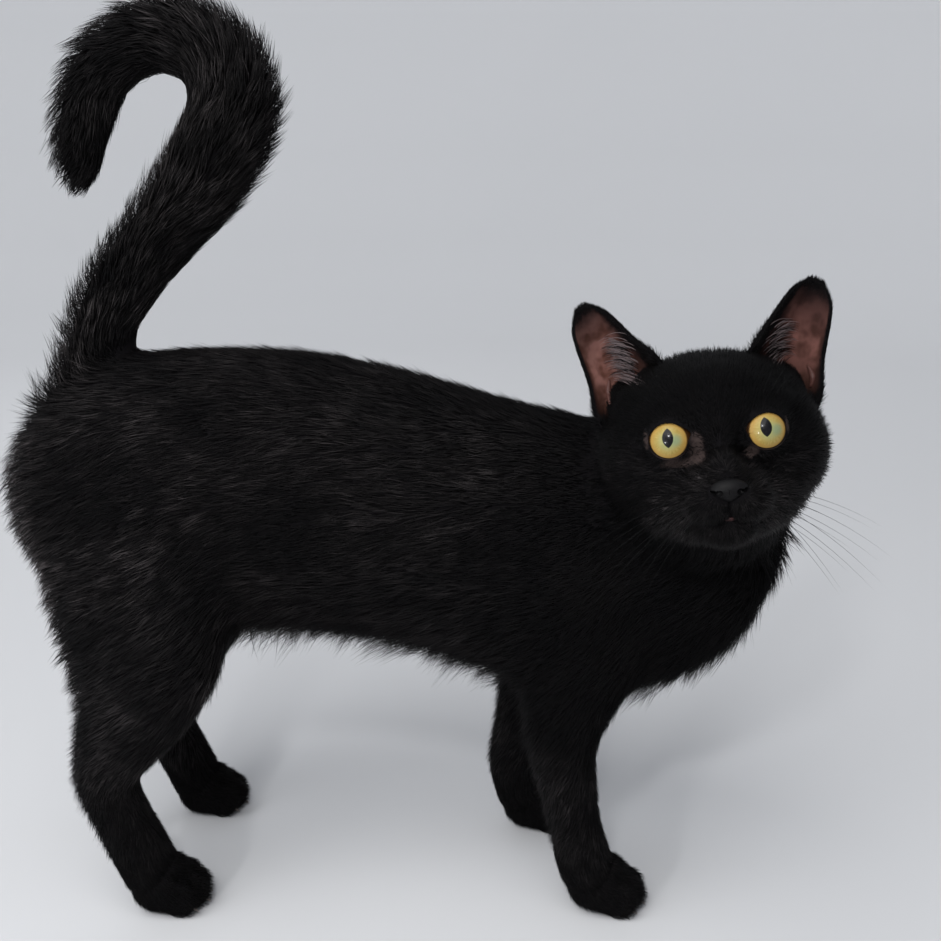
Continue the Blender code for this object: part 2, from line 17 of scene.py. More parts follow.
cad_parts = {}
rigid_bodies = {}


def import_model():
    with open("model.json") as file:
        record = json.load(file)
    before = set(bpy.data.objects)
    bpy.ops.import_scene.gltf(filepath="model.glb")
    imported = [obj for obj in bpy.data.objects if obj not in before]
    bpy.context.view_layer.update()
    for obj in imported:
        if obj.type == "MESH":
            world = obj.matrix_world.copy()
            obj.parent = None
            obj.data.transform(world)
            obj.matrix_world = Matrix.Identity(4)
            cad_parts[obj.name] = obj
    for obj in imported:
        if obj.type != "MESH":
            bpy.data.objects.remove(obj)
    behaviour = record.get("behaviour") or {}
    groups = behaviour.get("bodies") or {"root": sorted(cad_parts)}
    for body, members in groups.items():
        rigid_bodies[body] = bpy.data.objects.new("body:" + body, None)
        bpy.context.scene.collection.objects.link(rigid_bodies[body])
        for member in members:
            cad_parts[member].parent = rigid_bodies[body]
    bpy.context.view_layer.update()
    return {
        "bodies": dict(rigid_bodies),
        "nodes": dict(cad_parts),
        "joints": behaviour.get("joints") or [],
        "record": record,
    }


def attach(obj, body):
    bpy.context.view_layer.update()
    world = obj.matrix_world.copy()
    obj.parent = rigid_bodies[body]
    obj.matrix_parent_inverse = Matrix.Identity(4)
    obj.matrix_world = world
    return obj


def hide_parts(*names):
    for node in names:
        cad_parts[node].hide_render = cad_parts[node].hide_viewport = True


CM, MM = 0.01, 0.001
STAND = Matrix.Translation((0.0328, 0.0234, 0.0))
SIDES = {-1: "right", 1: "left"}
SEED = 11

# The camera: its place and pitch were worked out from the photo, whose frame is square.
CAMERA_PLACE, CAMERA_PITCH = (0.0, -52.5, 36.0), math.radians(75)
LENS, SENSOR = 42.08, 36.0

# Skin voxels, smoothing, the swelling that closes the cuts between the solids, and how near doubles lie.
BODY_VOXEL, HEAD_VOXEL, PAW_VOXEL = 3.0 * MM, 1.25 * MM, 1.3 * MM
BODY_SMOOTHING, HEAD_SMOOTHING, PAW_SMOOTHING = 14, 9, 9
CUT_SWELL, DOUBLES = 0.4 * MM, 0.01 * MM

HIND_LEG = (
    (-15.5, 3.0, 22.0, 4.5),
    (-15.4, 4.1, 18.0, 4.0),
    (-15.3, 4.5, 14.4, 3.4),
    (-16.2, 4.3, 11.4, 2.5),
    (-17.6, 4.1, 8.6, 1.8),
    (-18.0, 4.0, 7.2, 1.5),
    (-17.3, 3.9, 4.9, 1.5),
    (-16.4, 3.9, 2.8, 1.5),
)
FORE_LEG = (
    (6.8, 3.0, 18.0, 3.0),
    (5.8, 3.9, 15.2, 2.9),
    (4.8, 4.3, 12.4, 2.4),
    (4.4, 4.2, 9.4, 1.8),
    (4.8, 4.1, 6.2, 1.45),
    (5.1, 4.0, 4.4, 1.4),
    (5.5, 3.9, 2.8, 1.5),
)
KNEE_ROW, LEG_SHIFT_ROWS, LEG_SHIFT_POWER = 3, 4.5, 2.4

# Each leg: its table, its side, how far it is moved along and across, and the turn of its foot in degrees.
LEGS = {
    "hind_right": (HIND_LEG, -1, (0.0, 0.0), 6),
    "hind_left": (HIND_LEG, 1, (0.15, 1.1), 10),
    "fore_right": (FORE_LEG, -1, (0.2, 0.0), 0),
    "fore_left": (FORE_LEG, 1, (-2.8, -0.4), 0),
}
UPPER_NAMES = {"hind": "thigh", "fore": "upper_arm"}

# What carries the skin from the neck into the head, and from each ankle into its foot.
NECK_CORE = ((9.6, -0.9, 20.4, 4.2), (10.6, -3.2, 22.4, 3.9), (10.4, -5.6, 24.2, 3.2))
ANKLE_AHEAD, ANKLE_UP = 0.45, 1.5

# The foot: its size, its forms as place and radii, its toes as shares of its width and length, and each toe's
# joints as the way back, the height and the size.
FOOT_LENGTH, FOOT_WIDTH, FOOT_AHEAD = 4.1, 3.0, 0.85
FOOT_FORMS = {
    "palm": ((0.0, 0.0, 1.25), (1.722, 1.44, 1.40)),
    "heel": ((-0.45, 0.0, 1.75), (1.35, 1.28, 1.35)),
    "instep": ((0.1, 0.0, 2.0), (1.3, 1.2, 1.0)),
}
TOES = ((-0.34, 0.21), (-0.12, 0.335), (0.12, 0.335), (0.34, 0.21))
TOE_JOINTS, TOE_SPREAD, TOE_RADII = ((0.0, 0.95, 1.08), (0.75, 1.3, 1.05)), 0.6, (0.943, 0.465, 1.036)
SOLE_HEIGHT = 0.8 * MM

# The claws: where each starts over its toe, how far it reaches and drops, and its radii from base to tip.
CLAW_BASE, CLAW_LENGTH, CLAW_DROP = (0.70, 1.18, 0.50), 0.25, 0.85
CLAW_RADII = (0.075, 0.07, 0.055, 0.035, 0.008)

# The pads: the main one's place and radii, and the toe pads' radii and how far ahead of the toes they lie.
MAIN_PAD = ((-0.1, 0, 0.3), (0.72, 0.80, 0.3))
TOE_PAD, TOE_PAD_AHEAD = (0.42, 0.30, 0.24), 0.05

TAIL = (
    (-19.2, 0.0, 24.4, 2.3),
    (-18.3, 0.0, 27.4, 1.8),
    (-17.3, 0.1, 30.0, 1.8),
    (-15.1, 0.3, 33.0, 1.9),
    (-12.3, 0.6, 36.0, 2.15),
    (-10.85, 0.9, 38.9, 2.25),
    (-11.5, 1.2, 41.3, 2.05),
    (-14.1, 1.4, 42.4, 1.85),
    (-16.8, 1.4, 41.0, 1.75),
    (-18.1, 1.3, 38.4, 1.6),
    (-18.4, 1.2, 36.2, 1.2),
    (-18.4, 1.2, 34.9, 0.9),
)

# The head's own frame: the face looks along -Y, +X is the cat's left, and the origin is between the ears.
HEAD_CENTRE = (10.25, -6.85, 25.45)
HEAD_PITCH, HEAD_ROLL, HEAD_YAW = math.radians(-7), math.radians(-7.5), math.radians(-5.7)
HEAD_FORMS = {
    "cranium": ((0.0, 0.6, 0.64), (4.2, 3.9, 2.83)),
    "forehead": ((0.0, -1.2, 1.4), (2.7, 1.75, 1.75)),
    "cheek": ((2.6, 0.2, -0.9), (2.25, 2.7, 2.65)),
    "jaw": ((0.0, -0.8, -2.5), (3.7, 2.9, 2.2)),
    "brow": ((1.95, -1.55, 1.15), (1.4, 1.05, 0.85)),
    "cheekbone": ((2.4, -1.4, -1.2), (1.5, 1.2, 1.1)),
    "ear_base": ((3.2, 2.2, 0.6), (1.5, 1.5, 2.0)),
    "muzzle": ((0.0, -2.8, -2.1), (1.9, 1.75, 1.5)),
    "whisker_pad": ((0.8, -3.75, -2.35), (1.05, 1.05, 0.9)),
    "chin": ((0.0, -2.95, -3.5), (1.25, 1.15, 0.95)),
    "nose_bridge_top": ((0.0, -1.75, 1.2), (0.95, 1.0, 1.1)),
    "nose_bridge": ((0.0, -2.75, 0.25), (0.85, 0.85, 1.2)),
    "nose_tip": ((0.0, -3.75, -1.05), (0.72, 0.8, 0.85)),
}

# The eyes: the ball and its cornea, how each is turned and shifted, its opening, and how deep that is cut.
EYE_CENTRE, EYE_RADIUS, CORNEA_RISE, CORNEA_WIDTH = (1.83, -2.15, 0.15), 1.10, 0.10, 0.95
EYE_OUTWARD, EYE_UPWARD, SOCKET_GAP = math.radians(9), math.radians(3), 0.02
EYE_SHIFT = {-1: -0.055, 1: -0.10}
EYE_OPENING, OPENING_REACH = (0.76, 0.71), (0.2, -3.5)

# Each corner of an eye: its length, sharpness, turn from level, and its drop as a share of its length.
TEAR_DUCT, OUTER_CORNER = (0.20, 14, 0.45, 0.35), (0.05, 14, 0.25, 0.0)
LIDS_RADIUS, LIDS_UP, LID_RADIUS, LID_LIFT, LID_BARE = 1.33, 0.05, 0.050, 0.020, 0.07
THIRD_LID_PLACE, THIRD_LID, THIRD_LID_SUNK = (-0.74, -0.45), (0.14, 0.08, 0.12), -0.04
IRIS, PUPIL, PUPIL_PLACES = 0.755, (0.22, 0.39), {-1: (0.0, 0.115), 1: (-0.12, 0.15)}

# Patches of thin hair by each eye, in its frame with the nose at -X: the middle, half sizes and share.
BARE_PATCHES = {
    -1: (
        ((-1.10, -0.20), (0.24, 0.42), 1.0),
        ((-1.05, -0.72), (0.34, 0.34), 1.0),
        ((-0.35, -0.95), (0.72, 0.18), 0.9),
        ((0.93, 0.08), (0.11, 0.40), 0.9),
    ),
    1: (
        ((-0.66, -0.80), (0.26, 0.24), 0.9),
        ((0.88, 0.15), (0.09, 0.36), 0.9),
    ),
}

# The nose: its leather and the groove down it, as its place in depth, its heights and its radius.
NOSE_LEATHER = ((0.0, -4.50, -1.80), (0.77, 0.34, 0.46))
NOSE_GROOVE, NOSE_GROOVE_UP, NOSE_GROOVE_RADIUS = -4.83, (-1.75, -1.95, -2.15, -2.35), 0.045

# Each nostril: a round hole and the slit that curls back from it, as place, size and tilt in degrees.
NOSTRIL = (((0.44, -4.86, -1.88), (0.19, 0.36, 0.15), 25), ((0.60, -4.74, -1.80), (0.17, 0.36, 0.07), -20))
MOUTH_LINE = ((0.0, -2.25), (0.0, -2.95), (0.35, -3.2), (0.85, -3.15), (1.25, -3.0))
MOUTH_GROOVE, BEFORE_FACE = 0.08, -9.0
LIP_UP, LIP = -3.02, (0.25, 0.09, 0.09)

# The bare strips under the nose and at the lip, as half width, lowest and highest, and where the face lies.
BARE_STRIPS, FACE_AHEAD = ((0.09, -2.95, -1.95), (0.30, -3.12, -2.92)), -3.0

# Each whisker: its place on the face, its way out, forward and up, and its length. WHISKER is its radius.
WHISKER = 0.011
WHISKERS = (
    (0.85, -2.05, 1.0, 0.22, -0.16, 3.4),
    (1.20, -1.98, 1.0, 0.10, -0.18, 4.2),
    (1.52, -1.95, 1.0, -0.05, -0.20, 4.6),
    (0.90, -2.30, 1.0, 0.22, -0.34, 3.8),
    (1.25, -2.25, 1.0, 0.10, -0.40, 4.6),
    (1.58, -2.20, 1.0, -0.05, -0.38, 5.0),
    (0.95, -2.55, 1.0, 0.20, -0.56, 3.8),
    (1.30, -2.50, 1.0, 0.08, -0.66, 4.8),
    (1.60, -2.45, 1.0, -0.05, -0.62, 5.0),
    (1.35, -2.72, 0.9, 0.0, -0.95, 3.8),
    (1.62, -2.68, 0.9, -0.05, -0.98, 4.0),
    (1.85, 1.50, 0.25, 0.60, 1.0, 2.2),
    (2.10, 1.46, 0.45, 0.50, 1.0, 2.5),
    (2.32, 1.40, 0.60, 0.40, 1.0, 2.0),
)

# The ear in the head's frame, from inside the head to its tip: inner edge, outer edge, depth of cup, rise.
EAR = (
    (1.3, 0.5, 2.3, 3.6, 1.0, -1.0, 1.5, 0.0),
    (2.05, 0.2, 3.45, 4.62, 0.7, 0.7, 1.7, 0.0),
    (2.8, 0.45, 4.5, 5.05, 0.8, 2.5, 1.4, 0.0),
    (3.75, 0.7, 5.55, 5.45, 0.9, 4.5, 0.75, 0.05),
    (4.5, 0.9, 6.1, 5.45, 0.95, 5.6, 0.12, 0.12),
)
EAR_LEAN = {-1: 0.0, 1: 0.03}

# How far each ear is narrower, and how much of its height it keeps, over the solids.
EAR_NARROWING, EAR_HEIGHT = {-1: 0.15, 1: 0.08}, {-1: 0.98, 1: 0.965}
EAR_BACK = Vector((-0.1, 1.0, -0.1))
EAR_WALL, EAR_STEPS, EAR_SHEET_STEPS, EAR_TIP = 0.15, (28, 36), (49, 81), 0.5

# How close to the ear's open sheet its skin lies, and the widths of the furred outer, inner and top edges.
EAR_REACH, EAR_EDGES = 1.1 * MM, (0.12, 0.75, 0.45)

# Where fur gives way to bare skin inside the ear, from its edge.
EAR_FUR = (0.08, 0.42)

# Each kind of ear hair by side: how many locks, their lowest and highest share, hairs in each and bulge.
EAR_HAIRS = {
    "ear_hairs": {-1: (13, (0.0, 1.1), 10, 0.5), 1: (10, (0.15, 1.0), 7, 0.4)},
    "ear_tufts": {-1: (10, (0.05, 0.95), 8, 0.3), 1: (9, (0.1, 0.95), 10, 0.3)},
}

# Where the locks start and end on the ear seen from the front, each as the lowest lock and the rise to the
# highest, how far hairs of a lock lie apart, how high a lock arches, and a hair's radii.
EAR_LOCKS = (((2.90, 0.30), (2.25, 1.65)), ((4.05, 0.25), (2.45, 1.60)))
LOCK_SPREAD, LOCK_ARCH = 0.16, 0.9
EAR_HAIR_RADII = (0.012, 0.012, 0.011, 0.010, 0.008, 0.006, 0.002)

# Each ear's folds seen from the front: their places, and their thickness at both ends and the middle.
EAR_FOLDS = {
    -1: ((((4.02, 2.60), (4.12, 2.10), (4.10, 1.55)), (0.05, 0.16, 0.06)),),
    1: ((((4.50, 2.30), (4.62, 1.80), (4.50, 1.35)), (0.05, 0.15, 0.06)),),
}

# The lines down the lie of the coat: the body's in the cat's frame, those of paw, ear and head in their own.
BODY_GUIDES = {
    "trunk": ((15, 0, 17.5, 5), (9, 0, 17.3, 6.5), (0, 0, 18.6, 7), (-10, 0, 20.8, 7), (-20, 0, 21.5, 5)),
    "belly": ((10, 0, 12.3, 2.2), (3, 0, 12.2, 2.6), (-5, 0, 13.8, 2.6), (-12, 0, 14.6, 2.4)),
    "neck": ((10.4, -5.0, 24.0, 3.8), (10.6, -3.2, 22.4, 4.4), (9.6, -0.9, 20.4, 4.8), (6.5, 0.6, 18.8, 5.0)),
    "breast": ((12.8, -2.5, 20.5, 2.8), (13.8, -0.5, 17.3, 3.0), (12, 0, 13.6, 2.8), (9, 0, 11.6, 2.2)),
}
RUMP_GUIDE = ((-20.6, 2.2, 22.5, 2.6), (-20.0, 3.6, 18.5, 2.4), (-19.0, 4.2, 14.0, 2.0))
PAW_GUIDE = ((-1.6, 0, 2.6, 1.45), (0.2, 0, 1.6, 1.45), (1.9, 0, 1.0, 1.45))
EAR_GUIDE = np.array([(3.4, 1.0, 2.2, 1.7), (4.2, 1.2, 4.2, 1.4), (4.9, 1.0, 6.0, 0.9)])
SKULL_GUIDE = ((0, -2.0, -0.8, 3.4), (0, 0.5, 0.2, 4.3), (0, 2.5, 0.2, 3.8))
SNOUT_GUIDE = ((0, -4.2, -2.0, 1.5), (0, -3.2, -2.6, 1.7))

# Where the face's hair parts, and how far back the head's hair leans.
PARTING, LEAN_BACK = (0.0, -5.4, -1.3), 0.25

# Each region's coat: hair length, lift in degrees, hair width, cover, clumping, droop, tone, sweep. The tone
# is partly painted light and shade: paler on the rump and head, darker on the neck and breast.
COATS = {
    "trunk": (13.0, 14, 0.48, 2.05, 0.36, 0.03, 0.86, (0.0, 0.0, -0.30)),
    "belly": (18.0, 22, 0.52, 2.4, 0.85, 0.28, 0.85, (0.35, 0.0, -1.40)),
    "neck": (11.0, 14, 0.48, 2.1, 0.38, 0.03, 0.60, (0.0, 0.0, -0.30)),
    "breast": (15.0, 24, 0.52, 2.5, 0.80, 0.25, 0.78, (1.0, 0.0, -0.90)),
    "rump": (11.0, 16, 0.48, 2.2, 0.50, 0.0, 1.60, (-1.30, 0.0, 0.10)),
    "thigh": (11.0, 14, 0.48, 2.0, 0.42, 0.0, 0.92, (-1.60, 0.0, 0.20)),
    "upper_arm": (11.0, 14, 0.48, 2.1, 0.42, 0.04, 0.78, (-0.60, 0.0, 0.0)),
    "lower_leg": (7.0, 13, 0.40, 1.7, 0.25, 0.0, 1.10, (-0.45, 0.0, 0.0)),
    "paw": (4.0, 15, 0.36, 1.5, 0.10, 0.0, 0.62, (0.0, 0.0, 0.0)),
    "tail": (13.5, 17, 0.50, 2.3, 0.46, 0.0, 0.84, (0.0, 0.0, 0.0)),
    "head": (5.5, 16, 0.32, 1.95, 0.16, 0.0, 1.42, (0.0, 0.0, 0.0)),
    "muzzle": (3.2, 15, 0.25, 1.9, 0.08, 0.0, 0.95, (0.0, 0.0, 0.0)),
    "ear": (2.0, 7, 0.28, 1.6, 0.10, 0.0, 0.80, (0.0, 0.0, 0.0)),
}
REGIONS = {name: index for index, name in enumerate(COATS)}
BENT = ("belly", "breast", "rump", "tail")
COAT_TRIANGLES = 190_000
UV_PATCH, UV_MARGIN = 0.003, 0.005

# How the hair's way and measures vary, and how it bends from root to tip. HALF is the share up to its middle.
SWIRL, SWIRL_WAVES = 0.16, (70, 80, 75)
WAY_JITTER, LIFT_JITTER, LENGTH_RANGE, WIDTH_RANGE = 0.17, 0.35, (0.65, 1.15), (0.75, 1.2)
ROOT_SHARE, HAIR_THICKNESS, HALF, ROOT_BEND, TIP_BEND = 0.03, 0.4, 0.5, 1.35, 0.65
DROOP_AT_MIDDLE, MIDDLE_SIZE, FLOOR_GAP = 0.25, 0.8, 0.6 * MM

# Clumps: how many hairs share a leader, how far they are drawn to it and how its length varies.
CLUMP_SIZE, PULL_RANGE, PULL_AT_MIDDLE, RAGGED, RAGGED_MOST = 14, (0.7, 1.2), 0.35, 0.30, 1.6

# How light the hairs are: the middle, the spread of each hair and the spread of each clump.
LIGHTNESS = (0.50, 0.22, 0.14)

# The depth of the coat over the skin, and how far hair that points outward stands up and sinks the skin.
OUTLINE_SHARE, OUTWARD_SHARE, OUTWARD_SINK = 0.95, 0.6, 0.2

# Bare places: how few tufts grow there, and how short and flat those are.
BARE_SHARE, BARE_SHORTER, BARE_FLATTER, BARE_AHEAD = 0.70, 0.6, 0.4, 0.7

# The tail: where its fluff changes sides, the lift on its smooth side, shaft and hook, their clumping,
# its short end, that end's sweep, and the inset of its hook's inner side.
TAIL_TURN, TAIL_TURN_WIDTH, TAIL_LIFT, TAIL_CLUMP = 0.40, 0.05, (0.62, 1.0, 0.55), 0.30
TAIL_END = (0.86, 1.0, 0.5)
TAIL_END_SWEEP, HOOK_INSET = np.array((-0.8, 0.0, 0.0)), (0.62, 0.80, 2.5 * MM)

# Tones of the coat, with painted light behind and painted shade at the shoulders, forehead and neck, and
# darker at the hocks: how much each changes, and the ranges in centimetres over which it does.
REAR_PAINTED_LIGHT, REAR_RANGE = 0.24, (8, 16)
SHOULDER_PAINTED_SHADE, SHOULDER_RANGE, SHOULDER_HEIGHT = 0.62, (0, 8), (10, 15)
HOCK_DARKER, HOCK_RANGE, HOCK_HEIGHT = 0.34, (8, 12), (-9, -7)
FOREHEAD_PAINTED_SHADE, FOREHEAD_RANGE = 0.80, (-1.2, 0.6)
NECK_PAINTED_SHADE, NECK_RANGE, HEAD_MIDDLE = 0.60, (4.9, 5.6), np.array((0.0, -0.8, -0.5))

# The corners of a tuft's faces: a straight wedge, and a bent one with three corners at its middle.
WEDGE_FACES = ((0, 1, 2), (1, 0, 3), (2, 1, 3), (0, 2, 3))
BENT_FACES = (
    (0, 1, 2),
    (1, 0, 3),
    (1, 3, 4),
    (2, 1, 4),
    (2, 4, 5),
    (0, 2, 5),
    (0, 5, 3),
    (4, 3, 6),
    (5, 4, 6),
    (3, 5, 6),
)

# The floor's colours near and far, its rings as radius and height in metres, where the lights aim, and each
# light's place, size, power and colour.
# The floor is painted darker near the cat and lighter far off: painted shade and light against the lights'
# falloff.
FLOOR_RANGE, FLOOR_COLORS = (0.2, 2.6), ((0.52, 0.525, 0.54), (0.72, 0.725, 0.74))
LIT_PLACE = (2, 0, 20)
BOWL = ((1.9, 0.0), (2.3, 0.05), (2.7, 0.18), (3.05, 0.42), (3.3, 0.78), (3.45, 1.25), (3.5, 2.0))
LIGHTS = (
    ("top_light", (-70, -120, 250), 220, 54, (1.0, 0.99, 0.97)),
    ("side_light", (-190, -130, 95), 170, 17, (0.95, 0.97, 1.0)),
    ("rear_light", (-60, 90, 130), 110, 3, (0.95, 0.97, 1.0)),
    ("eye_light_high", (-9, -62, 63), 6.5, 2.2, (1, 1, 1)),
    ("eye_light_low", (-27, -62, 20.5), 5.5, 1.5, (1, 1, 1)),
)


def at(*values):
    """A point of the cat's own frame, in centimetres, as a point of the scene."""
    return STAND @ (Vector(values) * CM)


def rows_at(rows):
    """Rows of a point and a radius in centimetres, as an array in metres on the floor's frame."""
    rows = np.array(rows, float) * CM
    rows[:, :3] += np.array(STAND.translation)
    return rows


def take(obj):
    """Makes obj the one selected and active object."""
    bpy.ops.object.select_all(action="DESELECT")
    obj.select_set(True)
    bpy.context.view_layer.objects.active = obj
    return obj


def named(name):
    made = bpy.context.active_object
    made.name = made.data.name = name
    return made


def settle(obj):
    """Puts the object's place, turn and size in its mesh."""
    take(obj)
    bpy.ops.object.transform_apply(location=True, rotation=True, scale=True)
    return obj


@contextmanager
def whole_mesh(obj):
    """Edit mode with all of the object selected."""
    take(obj)
    bpy.ops.object.mode_set(mode="EDIT")
    bpy.ops.mesh.select_all(action="SELECT")
    yield
    bpy.ops.object.mode_set(mode="OBJECT")


def modify(obj, kind, **settings):
    """Adds one modifier with its settings and applies it."""
    take(obj)
    change = obj.modifiers.new(kind.title(), kind)
    for name, value in settings.items():
        setattr(change, name, value)
    bpy.ops.object.modifier_apply(modifier=change.name)
    return obj


def cut(obj, other, operation="DIFFERENCE"):
    """obj cut by, or joined with, another closed mesh, which is then removed."""
    modify(obj, "BOOLEAN", operation=operation, solver="MANIFOLD", object=other)
    bpy.data.objects.remove(other, do_unlink=True)
    return obj


def join(pieces, name):
    take(pieces[0])
    for piece in pieces:
        piece.select_set(True)
    bpy.ops.object.join()
    return named(name)


def join_smooth(pieces, name):
    made = join(pieces, name)
    bpy.ops.object.shade_smooth()
    return made


def ellipsoid(name, frame, centre, radii, facets=(48, 32)):
    """A sphere primitive with three radii at a place of a frame, in centimetres."""
    bpy.ops.mesh.primitive_uv_sphere_add(segments=facets[0], ring_count=facets[1], radius=1.0)
    ball = named(name)
    shape = Matrix.Diagonal((*(Vector(radii) * CM), 1.0))
    ball.matrix_world = frame @ Matrix.Translation(Vector(centre) * CM) @ shape
    return settle(ball)


def tube(name, points, radius, closed=False, sides=3):
    """A round tube made from a curve along points in metres, with a radius in centimetres, or one a point."""
    line = bpy.data.curves.new(name, "CURVE")
    line.dimensions, line.bevel_depth, line.bevel_resolution = "3D", CM, sides
    line.use_fill_caps = True
    spline = line.splines.new("POLY")
    spline.points.add(len(points) - 1)
    spline.use_cyclic_u = closed
    for point, place, size in zip(spline.points, points, np.broadcast_to(radius, len(points))):
        point.co = (*place, 1.0)
        point.radius = size
    made = bpy.data.objects.new(name, line)
    bpy.context.scene.collection.objects.link(made)
    take(made)
    bpy.ops.object.convert(target="MESH")
    with whole_mesh(bpy.context.active_object):
        bpy.ops.mesh.remove_doubles(threshold=DOUBLES)
        bpy.ops.mesh.normals_make_consistent(inside=False)
    return named(name)


def coordinates(obj):
    places = np.empty(len(obj.data.vertices) * 3, np.float32)
    obj.data.vertices.foreach_get("co", places)
    return places.reshape(-1, 3).astype(float)


def normals(obj):
    facing = np.empty(len(obj.data.vertices) * 3, np.float32)
    obj.data.vertex_normals.foreach_get("vector", facing)
    return facing.reshape(-1, 3).astype(float)


def place(obj, places):
    obj.data.vertices.foreach_set("co", places.astype(np.float32).ravel())
    obj.data.update()
    return obj


def unit(vectors):
    return vectors / np.maximum(np.linalg.norm(vectors, axis=-1, keepdims=True), 1e-9)


def row_at(rows, t):
    """The row at place t of a smooth curve through rows of numbers."""
    rows = np.array(rows, float)
    padded = np.vstack([2 * rows[0] - rows[1], rows, 2 * rows[-1] - rows[-2]])
    span = min(int(t), len(rows) - 2)
    u = t - span
    a, b, c, d = padded[span : span + 4]
    return 0.5 * (2 * b + (c - a) * u + (2 * a - 5 * b + 4 * c - d) * u**2 + (3 * b - 3 * c + d - a) * u**3)


def smooth_rows(rows, per_span=3):
    """Rows of numbers with smooth steps between them."""
    return np.array([row_at(rows, t) for t in np.linspace(0, len(rows) - 1, (len(rows) - 1) * per_span + 1)])


def leg_rows(leg):
    """The leg's table set on its own side and moved to where it stands."""
    rows, side, (along, across), _ = leg
    moved = []
    for i, (x, y, z, radius) in enumerate(rows):
        share = min(1.0, i / LEG_SHIFT_ROWS) ** LEG_SHIFT_POWER
        moved.append((x + along * share, side * (y + across * share), z, radius))
    return moved


def foot_frame(leg):
    """Where the leg's foot stands, with its toes along the frame's own +X."""
    x, y = leg_rows(leg)[-1][:2]
    turn = Matrix.Rotation(math.radians(leg[3]), 4, "Z")
    return STAND @ Matrix.Translation(Vector((x + FOOT_AHEAD, y, 0)) * CM) @ turn


def head_frame():
    turns = (Euler((0, 0, HEAD_YAW)), Euler((HEAD_PITCH, 0, 0)), Euler((0, HEAD_ROLL, 0)))
    yaw, pitch, roll = [turn.to_matrix().to_4x4() for turn in turns]
    return STAND @ Matrix.Translation(Vector(HEAD_CENTRE) * CM) @ yaw @ pitch @ roll


def eye_frame(side):
    """An eye's own frame, with its gaze along -Y."""
    x, y, z = EYE_CENTRE
    turn = Euler((-EYE_UPWARD, 0, side * EYE_OUTWARD)).to_matrix().to_4x4()
    return head_frame() @ Matrix.Translation(Vector((side * x + EYE_SHIFT[side], y, z)) * CM) @ turn


def in_frame(frame, points):
    """Scene points in a frame's own centimetres."""
    inverse = np.array(frame.inverted())
    return (points @ inverse[:3, :3].T + inverse[:3, 3]) / CM


def out_of_frame(frame, points):
    """Points in a frame's own centimetres, as scene points."""
    matrix = np.array(frame)
    return np.asarray(points, float) * CM @ matrix[:3, :3].T + matrix[:3, 3]


def both_sides(centre):
    x, y, z = centre
    return [(x, y, z)] if x == 0 else [(x, y, z), (-x, y, z)]


def lens_outline(grow=0.0, count=64):
    """An eye's opening seen from the front, with its tear duct at -X and its outer corner at +X."""
    half_width, half_height = EYE_OPENING
    outline = []
    for i in range(count):
        turn = math.tau * i / count
        x, z = (half_width + grow) * math.cos(turn), (half_height + grow) * math.sin(turn)
        for way, (length, sharpness, tilt, drop) in ((-1, TEAR_DUCT), (1, OUTER_CORNER)):
            corner = length * max(0.0, way * math.cos(turn - way * tilt)) ** sharpness
            x += way * corner
            z -= drop * corner
        outline.append((x, z))
    return outline


def guides():
    """Each region's lines down the lie of its coat, as rows of a point and a radius."""
    head = head_frame()
    lines = {
        **{name: [rows] for name, rows in BODY_GUIDES.items()},
        "rump": [[(x, side * y, z, radius) for x, y, z, radius in RUMP_GUIDE] for side in SIDES],
        "thigh": [leg_rows(LEGS[name])[: KNEE_ROW + 1] for name in LEGS if name.startswith("hind")],
        "upper_arm": [leg_rows(LEGS[name])[: KNEE_ROW + 1] for name in LEGS if name.startswith("fore")],
        "lower_leg": [leg_rows(leg)[KNEE_ROW:] for leg in LEGS.values()],
        "tail": [TAIL],
    }
    made = {name: [rows_at(smooth_rows(rows)) for rows in found] for name, found in lines.items()}
    made["paw"] = [rows_in_frame(foot_frame(leg), PAW_GUIDE) for leg in LEGS.values()]
    made["ear"] = [rows_in_frame(head, EAR_GUIDE * (side, 1, 1, 1)) for side in SIDES]
    made["head"] = [rows_in_frame(head, SKULL_GUIDE)]
    made["muzzle"] = [rows_in_frame(head, SNOUT_GUIDE)]
    return made


def rows_in_frame(frame, rows):
    """Rows of a point and a radius in a frame's centimetres, as an array in metres on the floor's frame."""
    rows = np.array(rows, float)
    return np.column_stack([out_of_frame(frame, rows[:, :3]), rows[:, 3] * CM])


def reach(points, rows):
    """For each point: its distance from a line as a share of the line's radius, and the line's way, the place
    along it and the offset from it."""
    best = np.full(len(points), np.inf)
    way, along, off = np.zeros((len(points), 3)), np.zeros(len(points)), np.zeros((len(points), 3))
    start = 0.0
    for a, b in zip(rows, rows[1:]):
        span = b[:3] - a[:3]
        length = np.linalg.norm(span)
        t = np.clip((points - a[:3]) @ span / length**2, 0, 1)
        apart = points - (a[:3] + t[:, None] * span)
        share = np.linalg.norm(apart, axis=1) / (a[3] + (b[3] - a[3]) * t)
        nearer = share < best
        best[nearer] = share[nearer]
        way[nearer] = span / length
        along[nearer] = start + t[nearer] * length
        off[nearer] = apart[nearer]
        start += length
    return best, way, along / start, off


